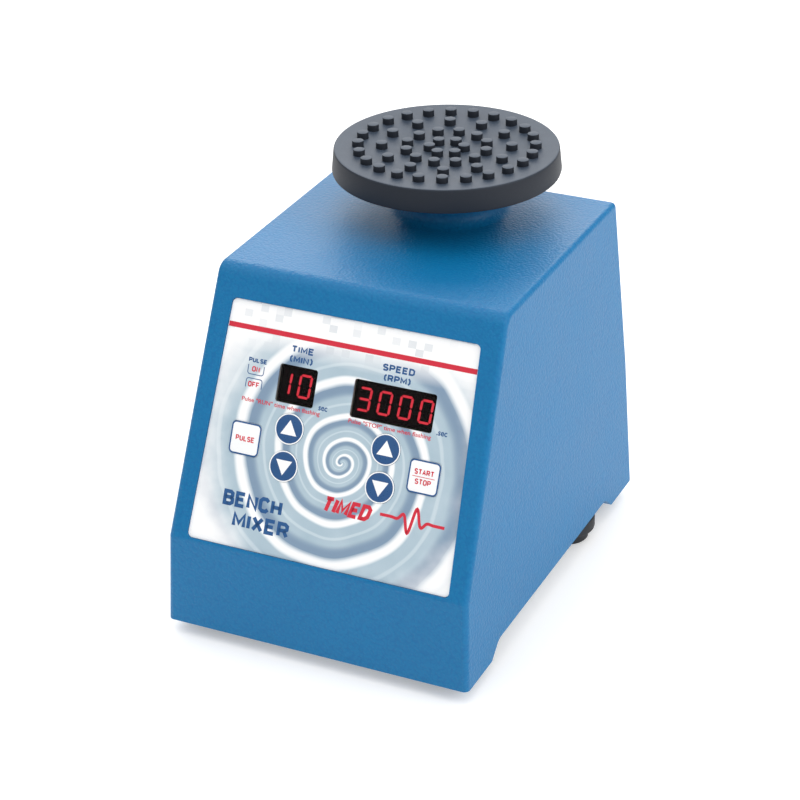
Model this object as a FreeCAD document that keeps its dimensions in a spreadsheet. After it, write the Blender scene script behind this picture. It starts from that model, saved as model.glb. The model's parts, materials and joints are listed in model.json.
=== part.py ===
import FreeCAD, Part
import os
import re
import Sketcher

# Vortex mixer. +Z is up, +Y runs from the front to the back, and +X is to the right seen from the front.
# The origin is on the bench, under the middle of the housing. Lengths are in millimetres.

doc = FreeCAD.newDocument("vortex_mixer")

# ---------------------------------------------------------------- driving dimensions

SIZES = {
    # housing
    "housing_width": 122.0,
    "housing_depth": 166.8,
    "housing_height": 128.4,
    "side_draft": 4.0,
    "front_lean": 2.1,
    "break_height": 35.0,
    "slope_depth": 42.7,
    "waist_height": 56.3,
    "waist_inset": 4.8,
    "back_inset": 15.2,
    "wall": 3.4,
    "slope_wall": 5.0,
    "edge_radius": 2.2,
    "brow_radius": 6.0,
    "arch_rise": 5.6,
    "arch_front": 28.9,
    "arch_back": 29.9,
    "arch_slant": 8.0,
    "arch_radius": 6.0,
    "collar_wall": 2.0,
    "collar_height": 10.0,
    "collar_fillet": 4.5,
    "gap": 0.5,
    "fit": 0.05,
    "bearing_fit": 0.02,
    # control panel
    "panel_low": 1.4,
    "panel_top_margin": 11.9,
    "bezel_low": 7.5,
    "bezel_high": 8.5,
    "panel_corner": 1.9,
    "panel_gap": 0.15,
    "overlay_drop": 0.8,
    "overlay_thick": 0.4,
    "spacer_thick": 0.8,
    "circuit_thick": 0.3,
    "backplate_thick": 1.0,
    "panel_ledge": 6.5,
    "key_diameter": 11.4,
    "key_square": 12.0,
    "key_corner": 1.8,
    "key_proud": 0.3,
    "key_gap": 0.1,
    "dome_diameter": 8.0,
    "dome_rise": 0.35,
    "window_height": 13.6,
    "window_drop": 27.0,
    "window_corner": 1.0,
    "time_window_width": 14.9,
    "speed_window_width": 31.8,
    "time_u": -18.6,
    "speed_u": 19.7,
    "pulse_u": -35.4,
    "start_u": 35.7,
    "upper_key_drop": 15.8,
    "lower_key_drop": 29.5,
    "lens_thick": 1.4,
    "led_depth": 7.0,
    "led_gap": 0.4,
    "led_margin": 0.4,
    "board_thick": 1.6,
    "board_margin": 10.2,
    "board_side_gap": 1.0,
    "board_screw_inset": 4.0,
    # base and feet
    "foot_height": 5.5,
    "foot_pad_radius": 8.35,
    "foot_radius": 10.8,
    "foot_neck_radius": 6.4,
    "foot_step": 4.4,
    "foot_top": 10.2,
    "foot_clearance": 0.7,
    "foot_front": 25.4,
    "foot_back": 43.0,
    "base_thick": 3.0,
    "base_lift": 7.0,
    "boss_radius": 6.0,
    "boss_depth": 15.0,
    "boss_overlap": 1.0,
    "base_screw_front": 11.4,
    "base_screw_back": 15.4,
    "base_end_gap": 1.0,
    "screw_radius": 2.0,
    "screw_head": 3.6,
    "head_thick": 2.0,
    # motor
    "motor_setback": 27.7,
    "shaft_radius": 4.0,
    "bearing_radius": 11.0,
    "bearing_thick": 7.0,
    "stator_thick": 30.0,
    "rotor_radius": 15.5,
    "air_gap": 0.5,
    "winding_thick": 6.0,
    "winding_wall": 6.0,
    "winding_gap": 0.4,
    "slot_radius": 2.7,
    "slot_inset": 3.2,
    "bracket_plate": 4.0,
    "leg_gap": 2.0,
    "leg_radius": 3.8,
    "cup_wall": 4.0,
    "mount_thick": 3.0,
    "mount_drop": 9.4,
    "grommet_rim": 1.5,
    "grommet_radius": 5.0,
    "grommet_rim_radius": 6.5,
    "fan_radius": 24.0,
    "fan_thick": 10.0,
    "fan_plate": 1.5,
    "fan_hub_radius": 8.0,
    "blade_thick": 1.6,
    "speed_disc_radius": 14.0,
    "speed_disc_thick": 1.2,
    "tooth_width": 2.0,
    "tooth_depth": 3.0,
    # drive and platform
    "throw": 3.0,
    "pin_radius": 4.0,
    "counterweight_radius": 15.5,
    "hub_wall": 2.5,
    "hub_thick": 11.5,
    "hub_sink": 6.9,
    "hub_seat": 6.0,
    "head_wall": 2.5,
    "boot_thick": 1.0,
    "stud_radius": 7.0,
    "platform_radius": 42.3,
    "platform_flare": 1.0,
    "platform_thick": 9.2,
    "platform_gap": 6.3,
    "dish_depth": 2.0,
    "cover_skin": 3.0,
    "cover_round": 1.0,
    "cover_wall": 3.4,
    "plate_sink": 0.6,
    "neck_wall": 5.0,
    "rim_margin": 9.0,
    "inner_ring": 6.5,
    "nub_radius": 2.2,
    "nub_height": 2.4,
    # power board
    "power_board_setback": 11.4,
    "power_board_depth": 66.0,
    "power_board_margin": 16.8,
    "standoff_height": 8.0,
    "small_screw": 1.5,
    "small_head": 2.8,
    "standoff_radius": 3.0,
    "core_width": 36.0,
    "core_depth": 26.0,
    "core_height": 24.0,
    "bobbin_width": 22.0,
    "bobbin_depth": 34.0,
    "bobbin_height": 28.0,
    "transformer_x": -18.0,
    "transformer_inset": 30.0,
    "capacitor_radius": 8.0,
    "capacitor_height": 26.0,
    "capacitor_x": 18.0,
    "capacitor_inset": 20.0,
    "sink_x": 20.0,
    "sink_width": 24.0,
    "sink_thick": 3.0,
    "sink_height": 20.0,
    "sink_inset": 14.0,
    "fin_thick": 1.6,
    "fin_depth": 8.0,
    "fin_pitch": 5.6,
    "ribbon_width": 20.0,
    "ribbon_thick": 0.8,
    "ribbon_x": 12.0,
    # mains inlet module, on the back
    "module_ledge": 5.75,
    "module_web": 7.0,
    "case_wall": 2.75,
    "module_low": 10.5,
    "module_flange": 2.0,
    "module_depth": 22.0,
    "flange_sink": 1.0,
    "socket_width": 25.0,
    "socket_height": 17.0,
    "socket_depth": 16.0,
    "drawer_width": 26.0,
    "drawer_height": 8.0,
    "switch_width": 14.0,
    "switch_height": 22.0,
    "pin_width": 2.0,
    "pin_height": 4.0,
    "inlet_screw_head": 2.6,
    "fuse_radius": 2.5,
    "fuse_length": 20.0,
}

# Places worked out from the sizes. z_ values are heights above the bench, y_ values are from the middle.
PLACES = {
    "z_leg": "foot_height",
    "z_break": "foot_height + break_height",
    "z_waist": "foot_height + waist_height",
    "z_roof": "foot_height + housing_height",
    "z_ceiling": "foot_height + housing_height - wall",
    "z_collar": "foot_height + housing_height + collar_height",
    "y_front": "-housing_depth / 2",
    "y_break": "-housing_depth / 2 + front_lean",
    "y_slope": "-housing_depth / 2 + front_lean + slope_depth",
    "y_back": "housing_depth / 2",
    "y_waist": "housing_depth / 2 - waist_inset",
    "y_back_top": "housing_depth / 2 - back_inset",
    "top_half": "housing_width / 2 - side_draft",
    "slope_ratio": "slope_depth / (housing_height - break_height)",
    "back_ratio": "(back_inset - waist_inset) / (housing_height - waist_height)",
    "panel_tilt": "atan(slope_depth / (housing_height - break_height)) / 1 deg",
    "back_tilt": "atan(waist_inset / waist_height) / 1 deg",
    "slope_shift": "slope_wall / cos(panel_tilt)",
    "inner_drop": "(slope_shift - wall) / (slope_ratio - front_lean / break_height)",
    "slope_length": "sqrt(slope_depth ^ 2 + (housing_height - break_height) ^ 2)",
    "panel_high": "slope_length - panel_top_margin",
    "panel_low_width": "housing_width - 2 * (side_draft * break_height / housing_height + bezel_low)",
    "panel_high_width": "2 * (top_half + side_draft * panel_top_margin * cos(panel_tilt) / housing_height"
                        " - bezel_high)",
    "window_v": "panel_high - window_drop",
    "upper_key_v": "window_v - upper_key_drop",
    "lower_key_v": "window_v - lower_key_drop",
    "square_key_v": "window_v - (upper_key_drop + lower_key_drop) / 2",
    "w_overlay": "-overlay_drop",
    "w_spacer": "-overlay_drop - overlay_thick",
    "w_circuit": "w_spacer - spacer_thick",
    "w_backplate": "w_circuit - circuit_thick",
    "w_recess": "w_backplate - backplate_thick",
    "w_led": "-overlay_drop - lens_thick - led_gap",
    "w_board": "w_led - led_depth",
    "z_base": "foot_height + base_lift",
    "z_base_top": "foot_height + base_lift + base_thick",
    "base_half": "housing_width / 2 - wall - gap - (base_lift + base_thick) * side_draft / housing_height",
    "front_foot_x": "housing_width / 2 - wall - foot_radius - foot_clearance",
    "back_foot_x": "housing_width / 2 - foot_radius - fit * 4",
    "cup_radius": "bearing_radius + cup_wall",
    "end_bore": "max(rotor_radius + air_gap; cup_radius) + winding_gap",
    "winding_radius": "end_bore + winding_wall",
    "stator_half": "winding_radius + 3.6",
    "bolt_x": "stator_half - 4",
    "bolt_y": "stator_half - 5",
    "mount_x": "stator_half + 12",
    "mount_y": "stator_half - 7.5",
    "mount_half": "mount_x + 8",
    "motor_axis": "y_back_top - motor_setback",
    "z_mount": "z_ceiling - mount_drop",
    "z_mount_low": "z_ceiling - mount_drop - mount_thick",
    "z_upper_bearing": "z_mount_low - bracket_plate - bearing_thick",
    "z_stator_top": "z_mount_low - bracket_plate - winding_thick - leg_gap",
    "z_stator_low": "z_stator_top - stator_thick",
    "z_lower_plate": "z_stator_low - winding_thick - leg_gap - bracket_plate",
    "z_lower_bearing": "z_lower_plate + bracket_plate / 2",
    "z_fan": "z_lower_plate - fan_thick - 2",
    "z_disc": "z_fan - 4",
    "y_head": "motor_axis - throw",
    "z_hub": "z_collar - hub_thick - hub_sink",
    "hub_radius": "throw + pin_radius + hub_wall",
    "head_radius": "bearing_radius + head_wall",
    "boot_radius": "head_radius + boot_thick",
    "collar_bore": "max(throw + boot_radius; counterweight_radius) + gap",
    "collar_radius": "collar_bore + collar_wall",
    "z_cup": "z_hub + hub_thick + 1",
    "z_shoulder": "z_cup + bearing_thick + 3",
    "z_platform": "z_collar + platform_gap",
    "z_platform_top": "z_collar + platform_gap + platform_thick",
    "z_dish": "z_platform_top - dish_depth",
    "z_plate_top": "z_dish - cover_skin",
    "dish_radius": "(platform_radius ^ 2 + dish_depth ^ 2) / (2 * dish_depth)",
    "z_board": "z_base_top + standoff_height",
    "z_board_top": "z_board + board_thick",
    "power_board_front": "-y_front - power_board_setback",
    "power_board_back": "power_board_front - power_board_depth",
    "power_board_half": "base_half - power_board_margin",
    "module_width": "2 * (module_ledge + case_wall) + drawer_width + module_web + switch_width",
    "module_height": "socket_height + drawer_height + 6",
    "v_module": "module_low + module_height / 2",
    "u_socket": "-module_width / 2 + module_ledge + case_wall + drawer_width / 2",
    "u_switch": "module_width / 2 - module_ledge - case_wall - switch_width / 2",
    "v_socket": "module_low + module_height - 2.5 - socket_height / 2",
    "v_drawer": "module_low + 2 + drawer_height / 2",
}

NAMES = re.compile(r"\b(" + "|".join(sorted(list(SIZES) + list(PLACES), key=len, reverse=True)) + r")\b")


def full(text):
    """Put the sheet's name before each alias in an expression."""
    return NAMES.sub(lambda found: ("Sizes." if found[0] in SIZES else "Places.") + found[0], str(text))


sizes_sheet = doc.addObject("Spreadsheet::Sheet", "Sizes")
for row, (alias, value) in enumerate(SIZES.items(), 1):
    sizes_sheet.set(f"A{row}", alias)
    sizes_sheet.set(f"B{row}", str(value))
    sizes_sheet.setAlias(f"B{row}", alias)
doc.recompute()

places_sheet = doc.addObject("Spreadsheet::Sheet", "Places")
for row, alias in enumerate(PLACES, 1):
    places_sheet.set(f"A{row}", alias)
    places_sheet.setAlias(f"B{row}", alias)
for row, (alias, formula) in enumerate(PLACES.items(), 1):
    own = re.sub(r"Places\.", "", full(formula))
    places_sheet.set(f"B{row}", "=" + own)
doc.recompute()

# The panel frame lies on the front slope: X to the right, Y up the slope from its lower edge, Z outward.
panel_frame = doc.addObject("App::Placement", "PanelFrame")
panel_frame.setExpression(
    "Placement", full("placement(vector(0; y_break; z_break); rotation(vector(1; 0; 0); 90 - panel_tilt))"))
# The rear frame lies on the lower back wall: X to the left seen from the front, Y up the wall, Z outward.
rear_frame = doc.addObject("App::Placement", "RearFrame")
rear_frame.setExpression(
    "Placement", full("placement(vector(0; y_back; z_leg);"
                      " rotation(vector(0; 0; 1); 180) * rotation(vector(1; 0; 0); 90 - back_tilt))"))
doc.recompute()

# ---------------------------------------------------------------- building blocks


def at(x=0, y=0, z=0, frame=None, turn=None):
    """A placement expression, in the object's frame or in the panel's or the rear wall's."""
    place = f"placement(vector({x}; {y}; {z}); rotation({turn or 'vector(0; 0; 1); 0'}))"
    return full(place) if frame is None else f"{frame}.Placement * " + full(place)


def add(kind, name, place=None, **values):
    """Add one object: each text value is bound as an expression, and other values are set as they are."""
    item = doc.addObject(kind, name)
    item.Label = name
    for key, value in values.items():
        if isinstance(value, str):
            item.setExpression(key, full(value))
        else:
            setattr(item, key, value)
    if place:
        item.setExpression("Placement", place)
    return item


def block(name, length, width, height, x=0, y=0, z=0, frame=None):
    """A box centred on x and y, standing on z."""
    place = at(f"({x}) - ({length}) / 2", f"({y}) - ({width}) / 2", z, frame)
    return add("Part::Box", name, place, Length=f"({length})", Width=f"({width})", Height=f"({height})")


def rod(name, radius, height, x=0, y=0, z=0, frame=None, turn=None):
    return add("Part::Cylinder", name, at(x, y, z, frame, turn), Radius=f"({radius})", Height=f"({height})")


def fuse(name, pieces):
    return add("Part::MultiFuse", name, Shapes=pieces)


def group(name, pieces):
    """Several separate solids that share one node."""
    return add("Part::Compound", name, Links=pieces)


def cut(name, base, tools):
    tool = tools[0] if len(tools) == 1 else fuse(name + "_tools", tools)
    return add("Part::Cut", name, Base=base, Tool=tool)


def tube(name, radius, bore, height, x=0, y=0, z=0, frame=None):
    outer = rod(name + "_outer", radius, height, x, y, z, frame)
    inner = rod(name + "_bore", bore, f"({height}) + 2", x, y, f"({z}) - 1", frame)
    return cut(name, outer, [inner])


def draw(sketch, loops):
    """Draw closed loops: a list of corners, or a circle given as (x, y, radius), all as expressions."""
    for loop in loops:
        first = sketch.GeometryCount
        if isinstance(loop, tuple):
            middle, normal = FreeCAD.Vector(0, 0, 0), FreeCAD.Vector(0, 0, 1)
            sketch.addGeometry(Part.Circle(middle, normal, 1.0 + first), False)
            centre = [("DistanceX", first, 3, loop[0]), ("DistanceY", first, 3, loop[1])]
            spot = sketch.addConstraint(Sketcher.Constraint("Radius", first, 1.0 + first))
            sketch.setExpression(f"Constraints[{spot}]", full(loop[2]))
        else:
            count = len(loop)
            dots = [FreeCAD.Vector(first + step, (first + step) ** 2, 0) for step in range(count)]
            for step in range(count):
                sketch.addGeometry(Part.LineSegment(dots[step], dots[(step + 1) % count]), False)
            for step in range(count):
                following = first + (step + 1) % count
                sketch.addConstraint(Sketcher.Constraint("Coincident", first + step, 2, following, 1))
            centre = []
            for step, (x, y) in enumerate(loop):
                centre += [("DistanceX", first + step, 1, x), ("DistanceY", first + step, 1, y)]
        for kind, edge, point, value in centre:
            spot = sketch.addConstraint(Sketcher.Constraint(kind, -1, 1, edge, point, 1.0))
            sketch.setExpression(f"Constraints[{spot}]", full(value))


def plate(name, loops, thick, place):
    """A PartDesign body: one sketch on its XY plane, padded upward."""
    body = doc.addObject("PartDesign::Body", name)
    body.Label = name
    sketch = body.newObject("Sketcher::SketchObject", name + "_sketch")
    plane = [item for item in body.Origin.OriginFeatures if item.Role == "XY_Plane"][0]
    sketch.AttachmentSupport = [(plane, "")]
    sketch.MapMode = "FlatFace"
    draw(sketch, loops)
    pad = body.newObject("PartDesign::Pad", name + "_pad")
    pad.Profile = sketch
    pad.setExpression("Length", full(thick))
    body.setExpression("Placement", place)
    return body


def prism(name, loop, depth, along):
    """A profile on the plane across X or Y, extruded the same distance both ways."""
    turns = {"X": FreeCAD.Rotation(FreeCAD.Vector(1, 1, 1), 120), "Y": FreeCAD.Rotation(0, 0, 90)}
    normals = {"X": FreeCAD.Vector(1, 0, 0), "Y": FreeCAD.Vector(0, -1, 0)}
    sketch = doc.addObject("Sketcher::SketchObject", name + "_sketch")
    sketch.Placement = FreeCAD.Placement(FreeCAD.Vector(0, 0, 0), turns[along])
    draw(sketch, [loop])
    item = add("Part::Extrusion", name, Base=sketch, LengthFwd=depth, Solid=True, Symmetric=True)
    item.DirMode = "Custom"
    item.Dir = normals[along]
    return item


def rounded(name, base, *rules):
    """Fillet edges: each rule is a radius and a test, and an edge takes the first rule that picks it."""
    doc.recompute()
    edges = []
    for spot, edge in enumerate(base.Shape.Edges, 1):
        radii = [sheet_value(radius) for radius, chosen in rules if chosen(edge)]
        if radii:
            edges.append((spot, radii[0], radii[0]))
    item = doc.addObject("Part::Fillet", name)
    item.Label = name
    item.Base = base
    item.Edges = edges
    return item


def sheet_value(alias):
    sheet = sizes_sheet if alias in SIZES else places_sheet
    return float(getattr(sheet, alias))


def rectangle(u, v, width, height, grow="0"):
    left, right = f"({u}) - ({width}) / 2 - ({grow})", f"({u}) + ({width}) / 2 + ({grow})"
    low, high = f"({v}) - ({height}) / 2 - ({grow})", f"({v}) + ({height}) / 2 + ({grow})"
    return [(left, low), (right, low), (right, high), (left, high)]


def upright(frame_object):
    """Picks straight edges that run along the given frame's Z."""
    way = frame_object.Placement.Rotation.multVec(FreeCAD.Vector(0, 0, 1))

    def test(edge):
        if len(edge.Vertexes) != 2 or not isinstance(edge.Curve, Part.Line):
            return False
        run = edge.Vertexes[1].Point - edge.Vertexes[0].Point
        return run.Length > 0.05 and abs(run.normalize().dot(way)) > 0.999

    return test


# ---------------------------------------------------------------- housing shell

# One painted casting: a side outline across X meets a tapered front outline, and its edges are rounded.
SIDE = [("y_front", "z_leg"), ("y_back", "z_leg"), ("y_waist", "z_waist"), ("y_back_top", "z_roof"),
        ("y_slope", "z_roof"), ("y_break", "z_break")]
FRONT = [("-housing_width / 2", "z_leg"), ("housing_width / 2", "z_leg"), ("top_half", "z_roof"),
         ("-top_half", "z_roof")]
INNER_SIDE = [("y_front + wall", "z_leg - 1"), ("y_back - wall", "z_leg - 1"), ("y_back - wall", "z_leg"),
              ("y_waist - wall", "z_waist"), ("y_back_top - wall + wall * back_ratio", "z_ceiling"),
              ("y_break + slope_shift + (z_ceiling - z_break) * slope_ratio", "z_ceiling"),
              ("y_break + slope_shift - inner_drop * slope_ratio", "z_break - inner_drop"),
              ("y_front + wall", "z_leg")]
INNER_FRONT = [("-housing_width / 2 + wall", "z_leg - 1"), ("housing_width / 2 - wall", "z_leg - 1"),
               ("housing_width / 2 - wall", "z_leg"), ("top_half - wall", "z_roof"),
               ("-top_half + wall", "z_roof"), ("-housing_width / 2 + wall", "z_leg")]


def housing_block(name, side, front):
    body_side = prism(name + "_side", side, "housing_width * 2", "X")
    body_front = prism(name + "_front", front, "housing_depth * 2", "Y")
    return add("Part::Common", name, Base=body_side, Tool=body_front)


outer_block = housing_block("outer_block", SIDE, FRONT)
leg_level = sheet_value("z_leg")
brow = FreeCAD.Vector(0, sheet_value("y_slope"), sheet_value("z_roof"))
outer_round = rounded("outer_round", outer_block,
                      ("brow_radius", lambda edge: edge.CenterOfMass.distanceToPoint(brow) < 0.01),
                      ("edge_radius", lambda edge: edge.BoundBox.ZMax > leg_level + 0.01))
inner_block = housing_block("inner_block", INNER_SIDE, INNER_FRONT)

# The collar round the drive: a turned boss whose foot sweeps out into the roof.
collar = rod("collar", "collar_radius", "collar_height + wall", y="motor_axis", z="z_ceiling")
collar_foot = rod("collar_foot", "collar_radius + collar_fillet", "collar_fillet",
                  y="motor_axis", z="z_roof")
collar_sweep = add("Part::Torus", "collar_sweep", at(y="motor_axis", z="z_roof + collar_fillet"),
                   Radius1="collar_radius + collar_fillet", Radius2="collar_fillet")
collar_flare = cut("collar_flare", collar_foot, [collar_sweep])


def corners(x, ys):
    return [(f"{sign}({x})", y) for sign in ("-", "") for y in ys]


BASE_SCREWS = corners("housing_width / 2 - wall - boss_radius + boss_overlap",
                      ["y_front + base_screw_front", "y_back - base_screw_back"])
MOUNT_SCREWS = corners("mount_x", ["motor_axis - mount_y", "motor_axis + mount_y"])
FEET = corners("front_foot_x", ["y_front + foot_front"]) + corners("back_foot_x", ["y_back - foot_back"])
MOTOR_BOLTS = corners("bolt_x", ["motor_axis - bolt_y", "motor_axis + bolt_y"])

base_bosses = [rod(f"base_boss_{number}", "boss_radius", "boss_depth", x, y, "z_base_top")
               for number, (x, y) in enumerate(BASE_SCREWS)]
mount_posts = [rod(f"mount_post_{number}", "boss_radius", "mount_drop - grommet_rim + wall / 2", x, y,
                   "z_mount + grommet_rim")
               for number, (x, y) in enumerate(MOUNT_SCREWS)]
base_holes = [rod(f"base_hole_{number}", "screw_radius + fit", "boss_depth - 2", x, y, "z_base_top - 1")
              for number, (x, y) in enumerate(BASE_SCREWS)]
mount_holes = [rod(f"mount_hole_{number}", "screw_radius + fit", "mount_drop - 1", x, y, "z_mount")
               for number, (x, y) in enumerate(MOUNT_SCREWS)]

collar_hole = rod("collar_hole", "collar_bore", "collar_height + wall + 20",
                  y="motor_axis", z="z_ceiling - 10")

# The long sides are arched between the legs, with round upper corners.
ARCH = [("y_front + arch_front - arch_slant", "z_leg - 1"), ("y_front + arch_front", "z_leg + arch_rise"),
        ("y_back - arch_back", "z_leg + arch_rise"), ("y_back - arch_back + arch_slant", "z_leg - 1")]
arch_block = prism("arch_block", ARCH, "housing_width * 2", "X")
arch_level = sheet_value("z_leg") + sheet_value("arch_rise")
arch = rounded("arch", arch_block, ("arch_radius", lambda edge: edge.BoundBox.ZMin > arch_level - 0.01
                                    and edge.BoundBox.XLength > sheet_value("housing_width")))


def panel_outline(grow):
    """The control panel's outline on the slope, a little narrower at the top."""
    return [(f"-panel_low_width / 2 - ({grow})", f"panel_low - ({grow})"),
            (f"panel_low_width / 2 + ({grow})", f"panel_low - ({grow})"),
            (f"panel_high_width / 2 + ({grow})", f"panel_high + ({grow})"),
            (f"-panel_high_width / 2 - ({grow})", f"panel_high + ({grow})")]


recess_block = plate("recess_block", [panel_outline("panel_gap")], "8 - w_recess",
                     at(z="w_recess", frame="PanelFrame"))
recess = rounded("recess", recess_block, ("panel_corner", upright(panel_frame)))
panel_hole = plate("panel_hole", [[
    ("-panel_high_width / 2 + panel_ledge", "panel_low + panel_ledge"),
    ("panel_high_width / 2 - panel_ledge", "panel_low + panel_ledge"),
    ("panel_high_width / 2 - panel_ledge", "panel_high - panel_ledge"),
    ("-panel_high_width / 2 + panel_ledge", "panel_high - panel_ledge")]],
    "20", at(z="-20", frame="PanelFrame"))

# The back wall has a shallow seat and a hole for the mains module.
module_seat = block("module_seat", "module_width + 2 * gap", "module_height + 2 * gap", "module_flange + 6",
                    0, "v_module", "-module_flange", "RearFrame")
module_hole = block("module_hole", "module_width - 2 * module_ledge", "module_height - 3 + gap", "20",
                    0, "v_module", "-15", "RearFrame")
MODULE_SCREWS = [(f"{sign}(module_width / 2 - module_ledge / 2 - 0.3)", "v_module") for sign in ("-", "")]
wall_holes = [rod(f"wall_hole_{number}", "small_screw + fit", "10", u, v, "-9", "RearFrame")
              for number, (u, v) in enumerate(MODULE_SCREWS)]

cavity = cut("cavity", inner_block, [*base_bosses, *mount_posts])
shell_walls = cut("shell_walls", outer_round, [cavity])
shell_solid = fuse("shell_solid", [shell_walls, collar, collar_flare])
housing_shell = cut("housing_shell", shell_solid,
                    [collar_hole, arch, recess, panel_hole, module_seat, module_hole, *wall_holes,
                     *base_holes, *mount_holes])

NODES = [housing_shell]

# ---------------------------------------------------------------- base plate, feet and screws


def screws(name, places, shank, head_z, way, head="screw_head", radius="screw_radius", frame=None,
           head_height="head_thick"):
    """Pan-head screws: way is 1 where the shank rises from the head and -1 where it hangs from it."""
    pieces = []
    for number, (x, y) in enumerate(places):
        low = f"({head_z}) - {head_height}" if way > 0 else head_z
        top = rod(f"{name}_head_{number}", head, head_height, x, y, low, frame)
        start = head_z if way > 0 else f"({head_z}) - ({shank})"
        stem = rod(f"{name}_stem_{number}", radius, shank, x, y, start, frame)
        pieces.append(fuse(f"{name}_{number}", [top, stem]))
    return group(name, pieces)


BASE_HOLES = [(x, y, "screw_radius + fit") for x, y in BASE_SCREWS + FEET]
STANDOFFS = corners("power_board_half - 4", ["-power_board_front + 4", "-power_board_back - 4"])
base_plate = plate("base_plate", [[
    ("-base_half", "y_front + wall + base_end_gap + gap"), ("base_half", "y_front + wall + base_end_gap + gap"),
    ("base_half", "y_back - wall - base_end_gap - gap"), ("-base_half", "y_back - wall - base_end_gap - gap")],
    *BASE_HOLES],
    "base_thick", at(z="z_base"))
NODES.append(base_plate)
NODES.append(screws("base_screws", BASE_SCREWS, "base_thick + boss_depth - 4", "z_base", 1))

# Each foot has a pad, a wider flange over it that shows in the arch, and a neck up to the base plate.
feet = []
for number, (x, y) in enumerate(FEET):
    pad = rod(f"foot_{number}_pad", "foot_pad_radius", "foot_step", x, y, "0")
    flange = rod(f"foot_{number}_flange", "foot_radius", "foot_top - foot_step", x, y, "foot_step")
    neck = rod(f"foot_{number}_neck", "foot_neck_radius", "z_base - foot_top", x, y, "foot_top")
    hole = rod(f"foot_{number}_hole", "screw_radius + fit", "base_lift + 2", x, y, "z_base - base_lift")
    feet.append(cut(f"foot_{number}", fuse(f"foot_{number}_body", [pad, flange, neck]), [hole]))
NODES.append(group("rubber_feet", feet))
NODES.append(screws("foot_screws", FEET, "base_thick + base_lift - 2", "z_base_top", -1))

# ---------------------------------------------------------------- control panel

WINDOWS = {"time": ("time_u", "time_window_width"), "speed": ("speed_u", "speed_window_width")}
ROUND_KEYS = {"key_time_up": ("time_u", "upper_key_v"), "key_time_down": ("time_u", "lower_key_v"),
              "key_speed_up": ("speed_u", "upper_key_v"), "key_speed_down": ("speed_u", "lower_key_v")}
SQUARE_KEYS = {"key_pulse": ("pulse_u", "square_key_v"), "key_start_stop": ("start_u", "square_key_v")}
KEYS = {**ROUND_KEYS, **SQUARE_KEYS}


def panel_holes(keys):
    """Cut-outs for the windows, and for the keys where asked, each with its clearance."""
    loops = [rectangle(u, "window_v", width, "window_height", "panel_gap") for u, width in WINDOWS.values()]
    if keys:
        loops += [(u, v, "key_diameter / 2 + key_gap") for u, v in ROUND_KEYS.values()]
        loops += [rectangle(u, v, "key_square", "key_square", "key_gap") for u, v in SQUARE_KEYS.values()]
    return loops


def far_corner(edge):
    """Picks the outline's own corners, and not those of the cut-outs."""
    spot = panel_frame.Placement.inverse().multVec(edge.CenterOfMass)
    return upright(panel_frame)(edge) and abs(spot.x) > sheet_value("panel_high_width") / 2 - 2


def corner_of(openings):
    """Picks the corners of rectangular cut-outs, each given as its middle, width and height."""
    def test(edge):
        spot = panel_frame.Placement.inverse().multVec(edge.CenterOfMass)
        near = [abs(abs(spot.x - sheet_value(u)) - sheet_value(width) / 2) < 0.5
                and abs(abs(spot.y - sheet_value(v)) - sheet_value(height) / 2) < 0.5
                for u, v, width, height in openings]
        return upright(panel_frame)(edge) and any(near)

    return test


key_corner = corner_of([(u, v, "key_square", "key_square") for u, v in SQUARE_KEYS.values()])
window_corner = corner_of([(u, "window_v", width, "window_height") for u, width in WINDOWS.values()])
LAYERS = {"panel_overlay": ("w_overlay", "overlay_thick", True),
          "dome_spacer": ("w_spacer", "spacer_thick", True),
          "keypad_circuit": ("w_circuit", "circuit_thick", False),
          "panel_backplate": ("w_backplate", "backplate_thick", False)}
for name, (top, thick, keys) in LAYERS.items():
    sheet = plate(name + "_sheet", [panel_outline("0"), *panel_holes(keys)], thick,
                  at(z=f"{top} - {thick}", frame="PanelFrame"))
    NODES.append(rounded(name, sheet, ("panel_corner", far_corner), ("key_corner", key_corner),
                         ("window_corner", window_corner)))

for name, (u, v) in ROUND_KEYS.items():
    NODES.append(rod(name, "key_diameter / 2", "overlay_thick + key_proud", u, v, "w_spacer", "PanelFrame"))
for name, (u, v) in SQUARE_KEYS.items():
    cap = block(name + "_cap", "key_square", "key_square", "overlay_thick + key_proud",
                u, v, "w_spacer", "PanelFrame")
    NODES.append(rounded(name, cap, ("key_corner", upright(panel_frame))))
NODES.append(group("key_domes", [
    add("Part::Cone", f"dome_{number}", at(u, v, "w_circuit", "PanelFrame"), Radius1="dome_diameter / 2",
        Radius2="dome_diameter / 5", Height="dome_rise") for number, (u, v) in enumerate(KEYS.values())]))

for name, (u, width) in WINDOWS.items():
    lens = block(name + "_lens", width, "window_height", "lens_thick",
                 u, "window_v", "-overlay_drop - lens_thick", "PanelFrame")
    NODES.append(rounded(name + "_window", lens, ("window_corner", upright(panel_frame))))
    NODES.append(block(name + "_display", f"{width} - 2 * led_margin", "window_height - 2 * led_margin",
                       "led_depth", u, "window_v", "w_board", "PanelFrame"))

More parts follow.
